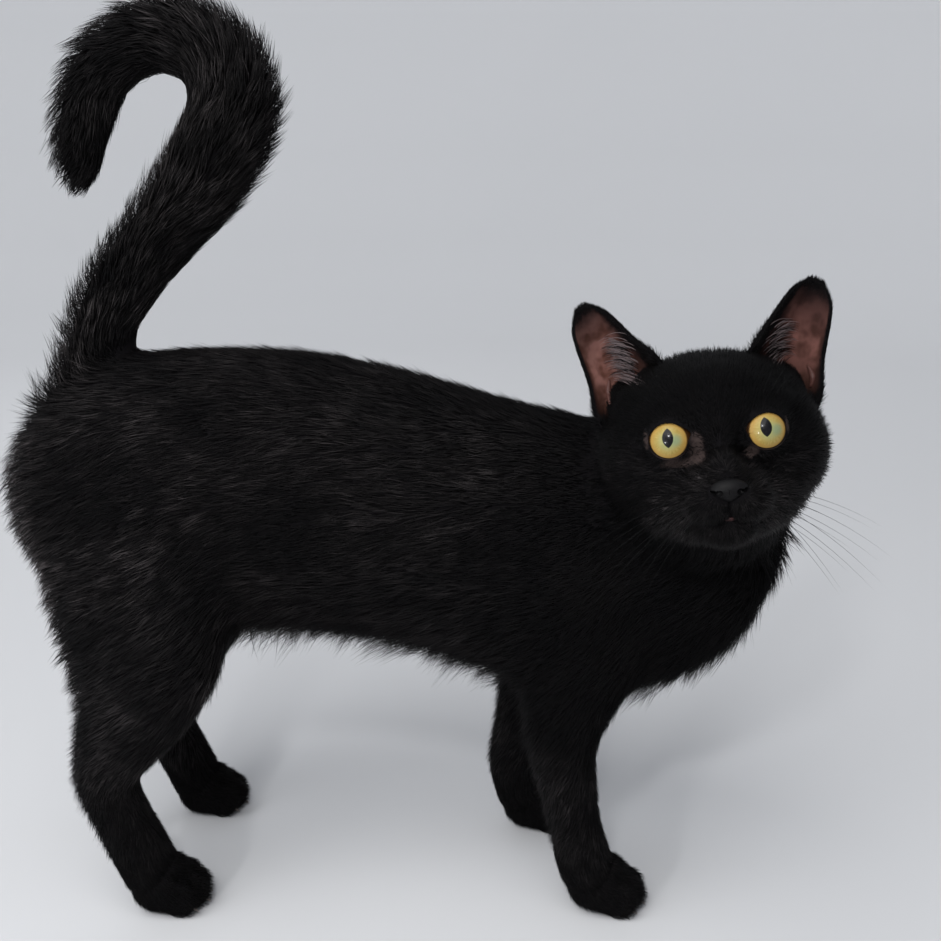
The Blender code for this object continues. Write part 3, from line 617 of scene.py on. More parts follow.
class Lie:
    """The coat at given places of the skin: its way, its measures and an unwrap, from the nearest regions."""

    POWER = 7

    def __init__(self, points, facing):
        total = np.zeros(len(points))
        self.way, self.measures = np.zeros((len(points), 3)), np.zeros((len(points), 7))
        self.region, self.uv = np.zeros(len(points), int), np.zeros((len(points), 2))
        strongest = np.zeros(len(points))
        for name, (*measures, sweep) in COATS.items():
            for rows in GUIDES[name]:
                share, way, along, off = reach(points, rows)
                if name in ("head", "muzzle"):
                    way = self.from_nose(points)
                if name == "tail":
                    way = way + ramp(along, *TAIL_END[:2])[:, None] * TAIL_END_SWEEP
                weight = 1.0 / np.maximum(share, 0.05) ** self.POWER
                self.way += weight[:, None] * unit(way + np.array(sweep))
                self.measures += weight[:, None] * np.array(measures)
                total += weight
                stronger = weight > strongest
                strongest[stronger] = weight[stronger]
                self.region[stronger] = REGIONS[name]
                self.uv[stronger] = self.unwrap(way, along, off)[stronger]
        self.measures /= total[:, None]
        self.way = unit(self.way)
        outward = np.sum(self.way * facing, axis=1)
        self.way = unit(self.way - outward[:, None] * facing)
        self.outward = np.clip(outward, 0, 1)

    @staticmethod
    def from_nose(points):
        nose = out_of_frame(head_frame(), PARTING)
        back = np.array(head_frame())[:3, 1]
        return unit(unit(points - nose) + LEAN_BACK * back)

    @staticmethod
    def unwrap(way, along, off):
        """The skin unrolled round its region's line: once round across, and along the line upward."""
        side = unit(np.cross(way, (0.31, 0.87, 0.39)))
        up = np.cross(side, way)
        turn = np.arctan2(np.sum(off * up, axis=1), np.sum(off * side, axis=1)) / math.tau + 0.5
        room = 1 - 2 * UV_MARGIN - UV_PATCH
        return UV_MARGIN + room * np.column_stack([turn, along])


def stand(lie, up, outward_share):
    """The length and the lift of the coat's hair before chance changes them, and the tail's fluff."""
    length, lift = lie.measures[:, 0] * MM, lie.measures[:, 1]
    on_tail = lie.region == REGIONS["tail"]
    length = length * np.where(on_tail, 1 - TAIL_END[2] * ramp(lie.uv[:, 1], *TAIL_END[:2]), 1)
    fluff = tail_fluff(lie, up)
    outer = np.where(lie.uv[:, 1] < TAIL_TURN, TAIL_LIFT[1], TAIL_LIFT[2])
    lift = np.radians(lift * (1 + fluff * np.where(fluff > 0, outer, TAIL_LIFT[0])))
    return length, lift + outward_share * np.arcsin(lie.outward), fluff


def depth_of_coat(points, facing):
    """How far the coat's tips stand over its roots, so that they keep the outline of the solids."""
    lie = Lie(points, facing)
    length, lift, fluff = stand(lie, facing, OUTWARD_SINK)
    rise = HALF * np.sin(ROOT_BEND * lift) + (1 - HALF) * np.sin(TIP_BEND * lift)
    low, high, inset = HOOK_INSET
    inner_side = ramp(lie.uv[:, 1], low, high) * np.maximum(-fluff, 0)
    return OUTLINE_SHARE * length * (rise - ROOT_SHARE) + inset * inner_side


def flesh_copy(name):
    """A merged, slightly swollen copy of one CAD node, so that it overlaps its neighbours."""
    made = bpy.data.objects.new(f"flesh_{name}", frame["nodes"][name].data.copy())
    made.data.materials.clear()
    bpy.context.scene.collection.objects.link(made)
    with whole_mesh(made):
        bpy.ops.mesh.remove_doubles(threshold=DOUBLES)
        bpy.ops.transform.shrink_fatten(value=CUT_SWELL)
    return made


def fuse(obj, voxel, smoothing):
    modify(obj, "REMESH", mode="VOXEL", voxel_size=voxel)
    return modify(obj, "SMOOTH", factor=0.5, iterations=smoothing)


def sink(obj):
    """Moves the skin in by the depth of the coat that it carries."""
    points, facing = coordinates(obj), normals(obj)
    return place(obj, points - facing * depth_of_coat(points, facing)[:, None])


def make_trunk_skin():
    names = ["torso", "neck", "tail_root", "tail_shaft", "tail_crook", "tail_hook"]
    names += [f"{leg}_{UPPER_NAMES[leg[:4]]}" for leg in LEGS]
    names += [f"{leg}_shank" for leg in LEGS]
    forms = [flesh_copy(name) for name in names]
    cores = [rows_at(smooth_rows(NECK_CORE))]
    for leg in LEGS.values():
        x, y, _, radius = leg_rows(leg)[-1]
        cores.append(rows_at(smooth_rows([*leg_rows(leg)[-2:], (x + ANKLE_AHEAD, y, ANKLE_UP, radius)])))
    for rows in cores:
        forms.append(tube("core", rows[:, :3], rows[:, 3] / CM, sides=9))
    return sink(fuse(join(forms, "skin"), BODY_VOXEL, BODY_SMOOTHING))


def foot_form(frame_of_foot, name, measures):
    return ellipsoid(name, frame_of_foot, *measures, (32, 20))


def make_paw_skin(name, leg):
    """A palm, four toes of two joints each, and the back of the foot."""
    frame_of_foot = foot_frame(leg)
    palm, *back_of_foot = FOOT_FORMS.items()
    forms = [foot_form(frame_of_foot, *palm)]
    for across, ahead in TOES:
        spread = Matrix.Rotation(across * TOE_SPREAD, 4, "Z")
        for back, up, size in TOE_JOINTS:
            centre = Vector((FOOT_LENGTH * ahead - back, FOOT_WIDTH * across, up))
            toe_frame = frame_of_foot @ Matrix.Translation(centre * CM) @ spread
            forms.append(ellipsoid("toe", toe_frame, (0, 0, 0), np.array(TOE_RADII) * size, (24, 16)))
    forms += [foot_form(frame_of_foot, *form) for form in back_of_foot]
    paw = sink(fuse(join(forms, f"paw_{name}"), PAW_VOXEL, PAW_SMOOTHING))
    places = coordinates(paw)
    places[:, 2] = np.maximum(places[:, 2], SOLE_HEIGHT)
    return place(paw, places)


def make_head_skin():
    """The head from its named forms, with open lids round its sockets and the line of its mouth."""
    frame_of_head = head_frame()
    forms = []
    for name, (centre, radii) in HEAD_FORMS.items():
        for spot in both_sides(centre):
            forms.append(ellipsoid(name, frame_of_head, spot, radii))
    for side in SIDES:
        forms.append(ellipsoid("lids", eye_frame(side), (0, 0, LIDS_UP), [LIDS_RADIUS] * 3))
    head = sink(fuse(join(forms, "head_skin"), HEAD_VOXEL, HEAD_SMOOTHING))
    tree = BVHTree.FromObject(head, bpy.context.evaluated_depsgraph_get())
    for side in SIDES:
        socket = [EYE_RADIUS + SOCKET_GAP] * 3
        cut(head, ellipsoid("socket", eye_frame(side), (0, 0, 0), socket, (64, 40)))
        cut(head, eye_opening(side))
        cut(head, mouth_groove(tree, [(side * x, z) for x, z in MOUTH_LINE[1:]]))
    return cut(head, mouth_groove(tree, MOUTH_LINE[:2]))


def eye_opening(side):
    """A cylinder primitive with its ring moved to the lens shape of the opening."""
    outline = lens_outline()
    bpy.ops.mesh.primitive_cylinder_add(vertices=len(outline), radius=1.0, depth=1.0)
    block = named("opening")
    places = coordinates(block)
    turn = np.arctan2(places[:, 1], places[:, 0]) / math.tau * len(outline)
    ring = np.array(outline)[np.round(turn).astype(int) % len(outline)]
    deep = np.where(places[:, 2] > 0, OPENING_REACH[0], OPENING_REACH[1])
    local = np.column_stack([side * ring[:, 0], deep, ring[:, 1]])
    place(block, out_of_frame(eye_frame(side), local))
    with whole_mesh(block):
        bpy.ops.mesh.normals_make_consistent(inside=False)
    return block


def on_face(tree, x, z):
    """The point of the face that is met from the front at x and z of the head's frame."""
    frame_of_head = head_frame()
    start = Vector(out_of_frame(frame_of_head, (x, BEFORE_FACE, z)))
    hit, facing, _, _ = tree.ray_cast(start, frame_of_head.to_3x3() @ Vector((0, 1, 0)))
    return hit, facing


def mouth_groove(tree, line):
    points = [on_face(tree, *spot)[0] for spot in smooth_rows(line, 5)]
    return tube("groove", points, MOUTH_GROOVE, sides=2)


def make_ear(side):
    """A grid primitive shaped to the cupped ear and given a wall, its root sunk in the head."""
    across, up = EAR_STEPS
    bpy.ops.mesh.primitive_grid_add(x_subdivisions=across, y_subdivisions=up, size=2.0)
    ear = named(f"ear_{SIDES[side]}")
    place(ear, np.array([in_ear(side, x, (y + 1) / 2) for x, y, _ in coordinates(ear)]))
    if side < 0:
        with whole_mesh(ear):
            bpy.ops.mesh.flip_normals()
    return modify(ear, "SOLIDIFY", thickness=EAR_WALL * CM, offset=-1.0)


def ear_sheet(side):
    """Places on an ear's open side: a tree of them, their ways out of it and their shares across and up."""
    wide, high = EAR_SHEET_STEPS
    shares = np.array([(x, up) for up in np.linspace(0, 1, high) for x in np.linspace(-1, 1, wide)])
    ahead, rise = np.full(len(shares), -1.0), np.full(len(shares), 0.15)
    ways = unit(np.column_stack([-side * 0.45 * shares[:, 0], ahead, rise]))
    tree = KDTree(len(shares))
    for i, (x, up) in enumerate(shares):
        tree.insert(in_ear(side, x, up), i)
    tree.balance()
    return tree, ways @ np.array(head_frame())[:3, :3].T, shares


def inside_ears(points, facing):
    """How far each place of the skin lies on the bare inner side of an ear, from 0 to 1."""
    found = np.zeros(len(points))
    local = in_frame(head_frame(), points)
    for side in SIDES:
        tree, ways, shares = EAR_SHEETS[side]
        near = (local[:, 0] * side > 1.2) & (local[:, 2] > 1.0) & (np.linalg.norm(local, axis=1) < 9)
        for i in np.flatnonzero(near):
            _, nearest, apart = tree.find(points[i])
            if apart > EAR_REACH or facing[i] @ ways[nearest] < 0.1:
                continue
            x, up = shares[nearest]
            outer, inner, top = EAR_EDGES
            edge = min((1 - x) / outer, (1 + x) / inner, (1 - up) / top, 1.0)
            found[i] = max(found[i], edge)
    return found


def bare_by_eyes(points):
    """How bare the skin is at the inner and outer corners of the eyes, from 0 to 1."""
    bare = np.zeros(len(points))
    for side in SIDES:
        local = in_frame(eye_frame(side), points)
        for (x, z), (wide, high), share in BARE_PATCHES[side]:
            apart = ((side * local[:, 0] - x) / wide) ** 2 + ((local[:, 2] - z) / high) ** 2
            bare = np.maximum(bare, share * np.clip(1.6 - apart, 0, 1) * (local[:, 1] < 0))
    return bare


def hairless(points, facing):
    """Where no tuft grows: the eyes, the nose leather, the mouth's line and the soles."""
    none = np.zeros(len(points), bool)
    for side in SIDES:
        local = in_frame(eye_frame(side), points)
        across = np.array(lens_outline(LID_BARE))
        turn = np.arctan2(local[:, 2], side * local[:, 0])
        reach_of_lid = np.interp(turn, *sorted_polar(across))
        none |= (np.hypot(local[:, 0], local[:, 2]) < reach_of_lid) & (local[:, 1] < 0.3) & (local[:, 1] > -2)
    local = in_frame(head_frame(), points)
    centre, radii = (np.array(row) for row in NOSE_LEATHER)
    none |= (((local - centre) / (radii * 1.02)) ** 2).sum(axis=1) < 1
    x, y, z = local.T
    for wide, low, high in BARE_STRIPS:
        none |= (abs(x) < wide) & (z > low) & (z < high) & (y < FACE_AHEAD)
    none |= (points[:, 2] < 3 * MM) & (facing[:, 2] < -0.6)
    return none


def sorted_polar(outline):
    turns = np.arctan2(outline[:, 1], outline[:, 0])
    order = np.argsort(turns)
    return turns[order], np.hypot(*outline.T)[order]


def skin_roots(skin):
    """Roots spread over the skin, as dense as the coat's cover asks, each with the skin's way out."""
    mesh = skin.data
    mesh.calc_loop_triangles()
    corners = np.empty(len(mesh.loop_triangles) * 3, np.int32)
    mesh.loop_triangles.foreach_get("vertices", corners)
    corners = corners.reshape(-1, 3)
    points, facing = coordinates(skin), normals(skin)
    a, b, c = points[corners].transpose(1, 0, 2)
    areas = np.linalg.norm(np.cross(b - a, c - a), axis=1) / 2
    length, _, width, cover, *_ = Lie((a + b + c) / 3, unit(facing[corners].sum(axis=1))).measures.T
    counts = (areas * cover / (0.5 * length * width * MM * MM) + random.random(len(areas))).astype(int)
    picked = np.repeat(np.arange(len(corners)), counts)
    shares = random.dirichlet((1, 1, 1), len(picked))
    roots = np.einsum("ij,ijk->ik", shares, points[corners[picked]])
    up = unit(np.einsum("ij,ijk->ik", shares, facing[corners[picked]]))
    thin = np.maximum(BARE_SHARE * bare_by_eyes(roots), ramp(inside_ears(roots, up), *EAR_FUR))
    kept = ~hairless(roots, up) & (random.random(len(roots)) > thin)
    return roots[kept], up[kept]


def swirl(points):
    """A slow wandering of the coat's way, as it lies on a live cat."""
    x, y, z = (points * SWIRL_WAVES).T
    return SWIRL * (np.sin(x + 1.7 * np.sin(z)) + np.sin(1.9 * z + y) + 0.6 * np.sin(2.7 * y - 1.3 * x)) / 2


def ramp(values, low, high):
    """0 below low and 1 above high, with a smooth rise between."""
    share = np.clip((values - low) / (high - low), 0, 1)
    return share * share * (3 - 2 * share)


def tail_fluff(lie, up):
    """From -1 to 1: how far the tail's hair stands out, at the rear of its shaft and round its hook."""
    outer = unit(np.cross((0.0, 1.0, 0.0), lie.way))
    turn = np.tanh((lie.uv[:, 1] - TAIL_TURN) / TAIL_TURN_WIDTH)
    return np.where(lie.region == REGIONS["tail"], turn * np.sum(outer * up, axis=1), 0.0)


def coat_tone_with_painted_light(points, lie):
    """How light the coat is: the region's tone, painted light behind, painted shade at the shoulders, on the
    forehead and past the cheeks, and darker at the hocks.
    """
    x, _, z = in_frame(STAND, points).T
    # Painted light on the rear and painted shade at the shoulders; the hocks are darker.
    body = 1 + REAR_PAINTED_LIGHT * ramp(-x, *REAR_RANGE)
    body -= SHOULDER_PAINTED_SHADE * ramp(x, *SHOULDER_RANGE) * ramp(z, *SHOULDER_HEIGHT)
    body -= HOCK_DARKER * ramp(-x, *HOCK_RANGE) * ramp(-z, *HOCK_HEIGHT)
    local = in_frame(head_frame(), points)
    # Painted shade on the forehead, and on the hair past the cheeks, except on the ears.
    head = 1 - FOREHEAD_PAINTED_SHADE * ramp(local[:, 2], *FOREHEAD_RANGE)
    past = ramp(np.linalg.norm(local - HEAD_MIDDLE, axis=1), *NECK_RANGE)
    head = np.where(lie.region == REGIONS["ear"], head, head * (1 - NECK_PAINTED_SHADE * past))
    on_head = np.isin(lie.region, [REGIONS[name] for name in ("head", "muzzle", "ear")])
    return lie.measures[:, 6] * np.where(on_head, head, body)


def grow(roots, up, lie):
    """Each tuft's root, middle and tip, its side, its width and its lightness, which carries the coat's
    painted light and shade.
    """
    count = len(roots)
    width, clump, droop = lie.measures[:, 2], lie.measures[:, 4], lie.measures[:, 5]
    side = unit(np.cross(up, lie.way))
    turn = swirl(roots) + WAY_JITTER * random.standard_normal(count)
    way = unit(lie.way + side * turn[:, None])
    side = unit(np.cross(up, way))
    length, lift, fluff = stand(lie, up, OUTWARD_SHARE)
    leaders = np.flatnonzero(random.random(count) < 1 / CLUMP_SIZE)
    tree = KDTree(len(leaders))
    for i, leader in enumerate(leaders):
        tree.insert(roots[leader], i)
    tree.balance()
    nearest = leaders[[tree.find(root)[1] for root in roots]]
    ragged = np.clip(random.standard_normal(count)[nearest], -RAGGED_MOST, RAGGED_MOST)
    length = length * (1 + RAGGED * clump * ragged)
    bare = np.maximum(bare_by_eyes(roots), bare_by_eyes(roots + BARE_AHEAD * way * length[:, None]))
    length = length * random.uniform(*LENGTH_RANGE, count) * (1 - BARE_SHORTER * bare)
    jitter = np.clip(1 + LIFT_JITTER * random.standard_normal(count), 0.3, 2.2)
    lift = lift * jitter * (1 - BARE_FLATTER * bare)
    clump = clump + TAIL_CLUMP * np.maximum(fluff, 0)
    start = roots - up * (ROOT_SHARE * length)[:, None]
    points = [start]
    for share, bend in ((HALF, ROOT_BEND), (1 - HALF, TIP_BEND)):
        step = way * np.cos(bend * lift)[:, None] + up * np.sin(bend * lift)[:, None]
        points.append(points[-1] + (length * share)[:, None] * step)
    _, middle, tip = points
    middle[:, 2] -= DROOP_AT_MIDDLE * droop * length
    tip[:, 2] -= droop * length
    pull = np.clip(clump * random.uniform(*PULL_RANGE, count), 0, 0.95)[:, None]
    moved = roots[nearest] + unit(tip[nearest] - roots[nearest]) * length[:, None] - tip
    middle += PULL_AT_MIDDLE * pull * moved
    tip += pull * moved
    for places in points:
        places[:, 2] = np.maximum(places[:, 2], FLOOR_GAP)
    level, of_hair, of_clump = LIGHTNESS
    shade = level + of_hair * random.standard_normal(count)
    shade += of_clump * random.standard_normal(count)[nearest]
    # The coat's tone scales each tuft's lightness, with painted light and shade.
    shade = np.clip(shade, 0, 1) * coat_tone_with_painted_light(roots, lie)
    return start, middle, tip, side, up, width * MM * random.uniform(*WIDTH_RANGE, count), shade


def coat_piece(name, tufts, uv, bent):
    """One mesh of closed tufts: wedges, or bent ones with three corners at their middles."""
    start, middle, tip, side, up, width, shade = tufts
    half, thick = (side * width[:, None] / 2), up * (width * HAIR_THICKNESS)[:, None]
    rings = [start + half, start - half, start + thick]
    if bent:
        rings += [middle + MIDDLE_SIZE * half, middle - MIDDLE_SIZE * half, middle + MIDDLE_SIZE * thick]
        steps, across = (0, 0, 0, HALF, HALF, HALF, 1), (0, 1, 0.5, 0, 1, 0.5, 0.5)
    else:
        steps, across = (0, 0, 0, 1), (0, 1, 0.5, 0.5)
    corners, faces = len(rings) + 1, np.array(BENT_FACES if bent else WEDGE_FACES)
    points = np.stack([*rings, tip], axis=1).reshape(-1, 3)
    loops = (np.arange(len(start))[:, None, None] * corners + faces).ravel()
    mesh = bpy.data.meshes.new(name)
    mesh.vertices.add(len(points))
    mesh.vertices.foreach_set("co", points.astype(np.float32).ravel())
    mesh.loops.add(len(loops))
    mesh.loops.foreach_set("vertex_index", loops.astype(np.int32))
    mesh.polygons.add(len(loops) // 3)
    mesh.polygons.foreach_set("loop_start", np.arange(0, len(loops), 3, dtype=np.int32))
    mesh.polygons.foreach_set("use_smooth", np.ones(len(loops) // 3, bool))
    mesh.update(calc_edges=True)
    patches = np.stack([across, steps], axis=1)[None] * UV_PATCH + uv[:, None]
    layer = mesh.uv_layers.new(name="OFBake")
    layer.data.foreach_set("uv", patches.reshape(-1, 2)[loops].astype(np.float32).ravel())
    # The shade attribute is each tuft's lightness, painted light and shade included.
    for label, values in (("tip", np.tile(steps, len(start))), ("shade", np.repeat(shade, corners))):
        attribute = mesh.attributes.new(label, "FLOAT", "POINT")
        attribute.data.foreach_set("value", values.astype(np.float32))
    made = bpy.data.objects.new(name, mesh)
    bpy.context.scene.collection.objects.link(made)
    return made


def make_coat(skin):
    """The coat's pieces, one or more a region, each of at most COAT_TRIANGLES triangles."""
    roots, up = skin_roots(skin)
    lie = Lie(roots, up)
    tufts = grow(roots, up, lie)
    pieces = []
    for name, index in REGIONS.items():
        members = np.flatnonzero(lie.region == index)
        bent = name in BENT
        most = COAT_TRIANGLES // len(BENT_FACES if bent else WEDGE_FACES)
        parts = max(1, math.ceil(len(members) / most))
        for part in range(parts):
            chosen = members[part::parts]
            label = f"coat_{name}" + (f"_{part + 1}" if parts > 1 else "")
            pieces.append(coat_piece(label, [values[chosen] for values in tufts], lie.uv[chosen], bent))
    return pieces


def make_eye(side):
    """An eyeball with the rise of its cornea."""
    eye = ellipsoid(f"eyeball_{SIDES[side]}", eye_frame(side), (0, 0, 0), [EYE_RADIUS] * 3, (96, 64))
    local = in_frame(eye_frame(side), coordinates(eye))
    off = np.hypot(local[:, 0], local[:, 2]) / CORNEA_WIDTH
    local[:, 1] -= CORNEA_RISE * np.clip(1 - off**2, 0, 1) ** 1.5 * (local[:, 1] < 0)
    place(eye, out_of_frame(eye_frame(side), local))
    bpy.ops.object.shade_smooth()
    return eye


def on_eyeball(side, x, z, lift):
    """A point just off the eyeball's front, with the nose at -x."""
    y = -math.sqrt(max(0.04, (EYE_RADIUS + lift) ** 2 - x * x - z * z))
    return Vector(out_of_frame(eye_frame(side), (side * x, y, z)))


def make_lid_rim(side):
    points = [on_eyeball(side, x, z, LID_LIFT) for x, z in lens_outline(0.03)]
    rim = tube(f"lid_rim_{SIDES[side]}", points, LID_RADIUS, closed=True)
    bpy.ops.object.shade_smooth()
    return rim


def make_third_lid(side):
    """The small fold at the inner corner of the eye."""
    turn = eye_frame(side).to_3x3().to_4x4()
    frame_of_fold = Matrix.Translation(on_eyeball(side, *THIRD_LID_PLACE, THIRD_LID_SUNK)) @ turn
    fold = ellipsoid(f"third_lid_{SIDES[side]}", frame_of_fold, (0, 0, 0), THIRD_LID, (24, 16))
    bpy.ops.object.shade_smooth()
    return fold


def make_nose():
    """The nose leather: broad above and narrow below, with two nostrils and the groove under them."""
    frame_of_head = head_frame()
    centre, radii = NOSE_LEATHER
    nose = ellipsoid("nose_leather", frame_of_head, centre, radii, (96, 64))
    local = in_frame(frame_of_head, coordinates(nose))
    height = (local[:, 2] - centre[2]) / radii[2]
    local[:, 0] *= 0.80 + 0.20 * np.tanh(2.2 * height + 0.8)
    local[:, 1] += 0.10 * np.clip(-height, 0, 1)
    place(nose, out_of_frame(frame_of_head, local))
    for side in SIDES:
        for (x, y, z), size, tilt in NOSTRIL:
            turn = Matrix.Rotation(side * math.radians(tilt), 4, "Y")
            nostril_frame = frame_of_head @ Matrix.Translation(Vector((side * x, y, z)) * CM) @ turn
            cut(nose, ellipsoid("nostril", nostril_frame, (0, 0, 0), size, (32, 20)))
    line = [Vector(out_of_frame(frame_of_head, (0, NOSE_GROOVE, up))) for up in NOSE_GROOVE_UP]
    cut(nose, tube("groove", line, NOSE_GROOVE_RADIUS))
    take(nose)
    bpy.ops.object.shade_smooth_by_angle(angle=math.radians(50))
    return nose


def make_lip(tree):
    """The small bare spot of the lower lip at the middle of the mouth."""
    hit, _ = on_face(tree, 0.0, LIP_UP)
    frame_of_lip = Matrix.Translation(hit) @ head_frame().to_3x3().to_4x4()
    lip = ellipsoid("lower_lip", frame_of_lip, (0, 0.05, 0), LIP, (24, 16))
    bpy.ops.object.shade_smooth()
    return lip


def make_claws(name, leg):
    """One curved claw at the front of each toe."""
    claws = []
    for across, ahead in TOES:
        x, y, z = FOOT_LENGTH * ahead + CLAW_BASE[0], FOOT_WIDTH * across * CLAW_BASE[1], CLAW_BASE[2]
        steps = np.linspace(0, CLAW_LENGTH, len(CLAW_RADII))
        rows = [(x + step, y, z - CLAW_DROP * step * step / CLAW_LENGTH) for step in steps]
        line = [Vector(out_of_frame(foot_frame(leg), row)) for row in rows]
        claws.append(tube("claw", line, CLAW_RADII, sides=1))
    return join_smooth(claws, f"claws_{name}")


def make_pads(name, leg):
    """The main pad and four toe pads under a foot, resting on the floor."""
    frame_of_foot = foot_frame(leg)
    pads = [ellipsoid("pad", frame_of_foot, *MAIN_PAD, (32, 20))]
    for across, ahead in TOES:
        spot = (FOOT_LENGTH * ahead + TOE_PAD_AHEAD, FOOT_WIDTH * across, TOE_PAD[2])
        pads.append(ellipsoid("pad", frame_of_foot, spot, TOE_PAD, (24, 16)))
    return join_smooth(pads, f"pads_{name}")


def bent_hair(start, way, sag, length, radius):
    """Points down a hair that leaves start along way and bends by sag, and its thinning radii."""
    steps = np.linspace(0, 1, 9)
    start, along, down = Vector(start), Vector(way), Vector(sag)
    points = [start + along * (length * CM * t) + down * (length * CM * t * t) for t in steps]
    return points, radius * (1.02 - steps) ** 0.8


def make_whiskers(tree):
    """Rows of whiskers on both pads, and the long hairs over the eyes."""
    frame_of_head = head_frame()
    turn = frame_of_head.to_3x3()
    hairs = []
    for side in SIDES:
        for x, z, out, forward, rise, length in WHISKERS:
            hit, _ = on_face(tree, side * x, z)
            way = turn @ Vector((side * out, -forward, rise)).normalized()
            sag = turn @ Vector((side * 0.02, 0.20 + 0.15 * forward, -0.30))
            points, radii = bent_hair(hit, way, sag, length, WHISKER)
            hairs.append(tube("whisker", points, radii, sides=0))
    return join_smooth(hairs, "whiskers")


def in_ear(side, across, up):
    """A point over the ear's open side, from its inner edge at -1 to its outer edge at 1."""
    across *= (1 - EAR_NARROWING[side] * ramp(up, 0.25, 0.55)) * (1 - EAR_TIP * max(0.0, 4 * up - 3) ** 2)
    up *= EAR_HEIGHT[side]
    ix, iy, iz, ox, oy, oz, cup, rise = row_at(EAR, up * (len(EAR) - 1))
    spot = Vector((ix, iy, iz)).lerp(Vector((ox, oy, oz)), (across + 1) / 2)
    spot += (EAR_BACK * cup + Vector((0, 0, rise))) * (1 - across * across)
    lean = EAR_LEAN[side] * max(0.0, spot.z)
    return Vector(out_of_frame(head_frame(), (side * (spot.x + lean), spot.y, spot.z)))


def make_ear_hairs(side, kind, tree):
    """Locks of fine hair that arch from the ear's inner edge over its open side."""
    count, (lowest, highest), each, bulge = EAR_HAIRS[kind][side]
    head = head_frame()
    hairs = []
    for share in np.linspace(lowest, highest, count):
        (x, z), (end_x, end_z) = EAR_LOCKS
        first = np.array((x[0] + x[1] * share**2, z[0] + z[1] * share))
        last = np.array((end_x[0] + end_x[1] * share, end_z[0] + end_z[1] * share))
        for _ in range(each):
            spread = random.normal(0, LOCK_SPREAD, 2)
            steps = np.linspace(0, random.uniform(0.45, 1.0), 7)[:, None]
            spots = first + spread + (last - first - 0.6 * spread) * steps
            spots[:, 1] += LOCK_ARCH * (steps * (1 - steps))[:, 0]
            hits = [on_face(tree, side * x, z)[0] for x, z in spots]
            if None in hits:
                continue
            found = in_frame(head, np.array(hits))
            level = np.linspace(found[0, 1], found[-1, 1], len(found))
            bow = steps[:, 0] * (1 - steps[:, 0])
            found[:, 1] = np.minimum(found[:, 1] - 0.04 * steps[:, 0], level - bulge * bow)
            line = [Vector(spot) for spot in out_of_frame(head, found)]
            hairs.append(tube("ear_hair", line, EAR_HAIR_RADII, sides=0))
    return join_smooth(hairs, f"{kind}_{SIDES[side]}")


def make_ear_folds(side, tree):
    """The fleshy folds at the bottom of the ear's open side."""
    folds = []
    for line, sizes in EAR_FOLDS[side]:
        points = [on_face(tree, side * x, z)[0] for x, z in smooth_rows(line, 5)]
        radii = np.interp(np.linspace(0, 1, len(points)), (0, 0.5, 1), sizes)
        folds.append(tube("fold", points, radii, sides=4))
    return join_smooth(folds, f"ear_folds_{SIDES[side]}")


class Shade:
    """A socket of a material, so that its maths reads as plain arithmetic."""

    def __init__(self, paint, socket):
        self.paint, self.socket = paint, socket

    def _math(self, operation, a, b):
        return self.paint.node("ShaderNodeMath", {"operation": operation}, {0: a, 1: b}).out()

    def __add__(self, other):
        return self._math("ADD", self, other)

    def __radd__(self, other):
        return self._math("ADD", other, self)

    def __sub__(self, other):
        return self._math("SUBTRACT", self, other)

    def __rsub__(self, other):
        return self._math("SUBTRACT", other, self)

    def __mul__(self, other):
        return self._math("MULTIPLY", self, other)

    def __rmul__(self, other):
        return self._math("MULTIPLY", other, self)

    def __pow__(self, other):
        return self._math("POWER", self, other)

    def __abs__(self):
        return self._math("ABSOLUTE", self, 0.0)

    def ramp(self, low, high):
        """0 below low and 1 above high, with a smooth rise between."""
        settings = {"interpolation_type": "SMOOTHSTEP"}
        return self.paint.node("ShaderNodeMapRange", settings, {0: self, 1: low, 2: high}).out()


class Node:
    def __init__(self, paint, made):
        self.paint, self.made = paint, made

    def out(self, name=0):
        return Shade(self.paint, self.made.outputs[name])


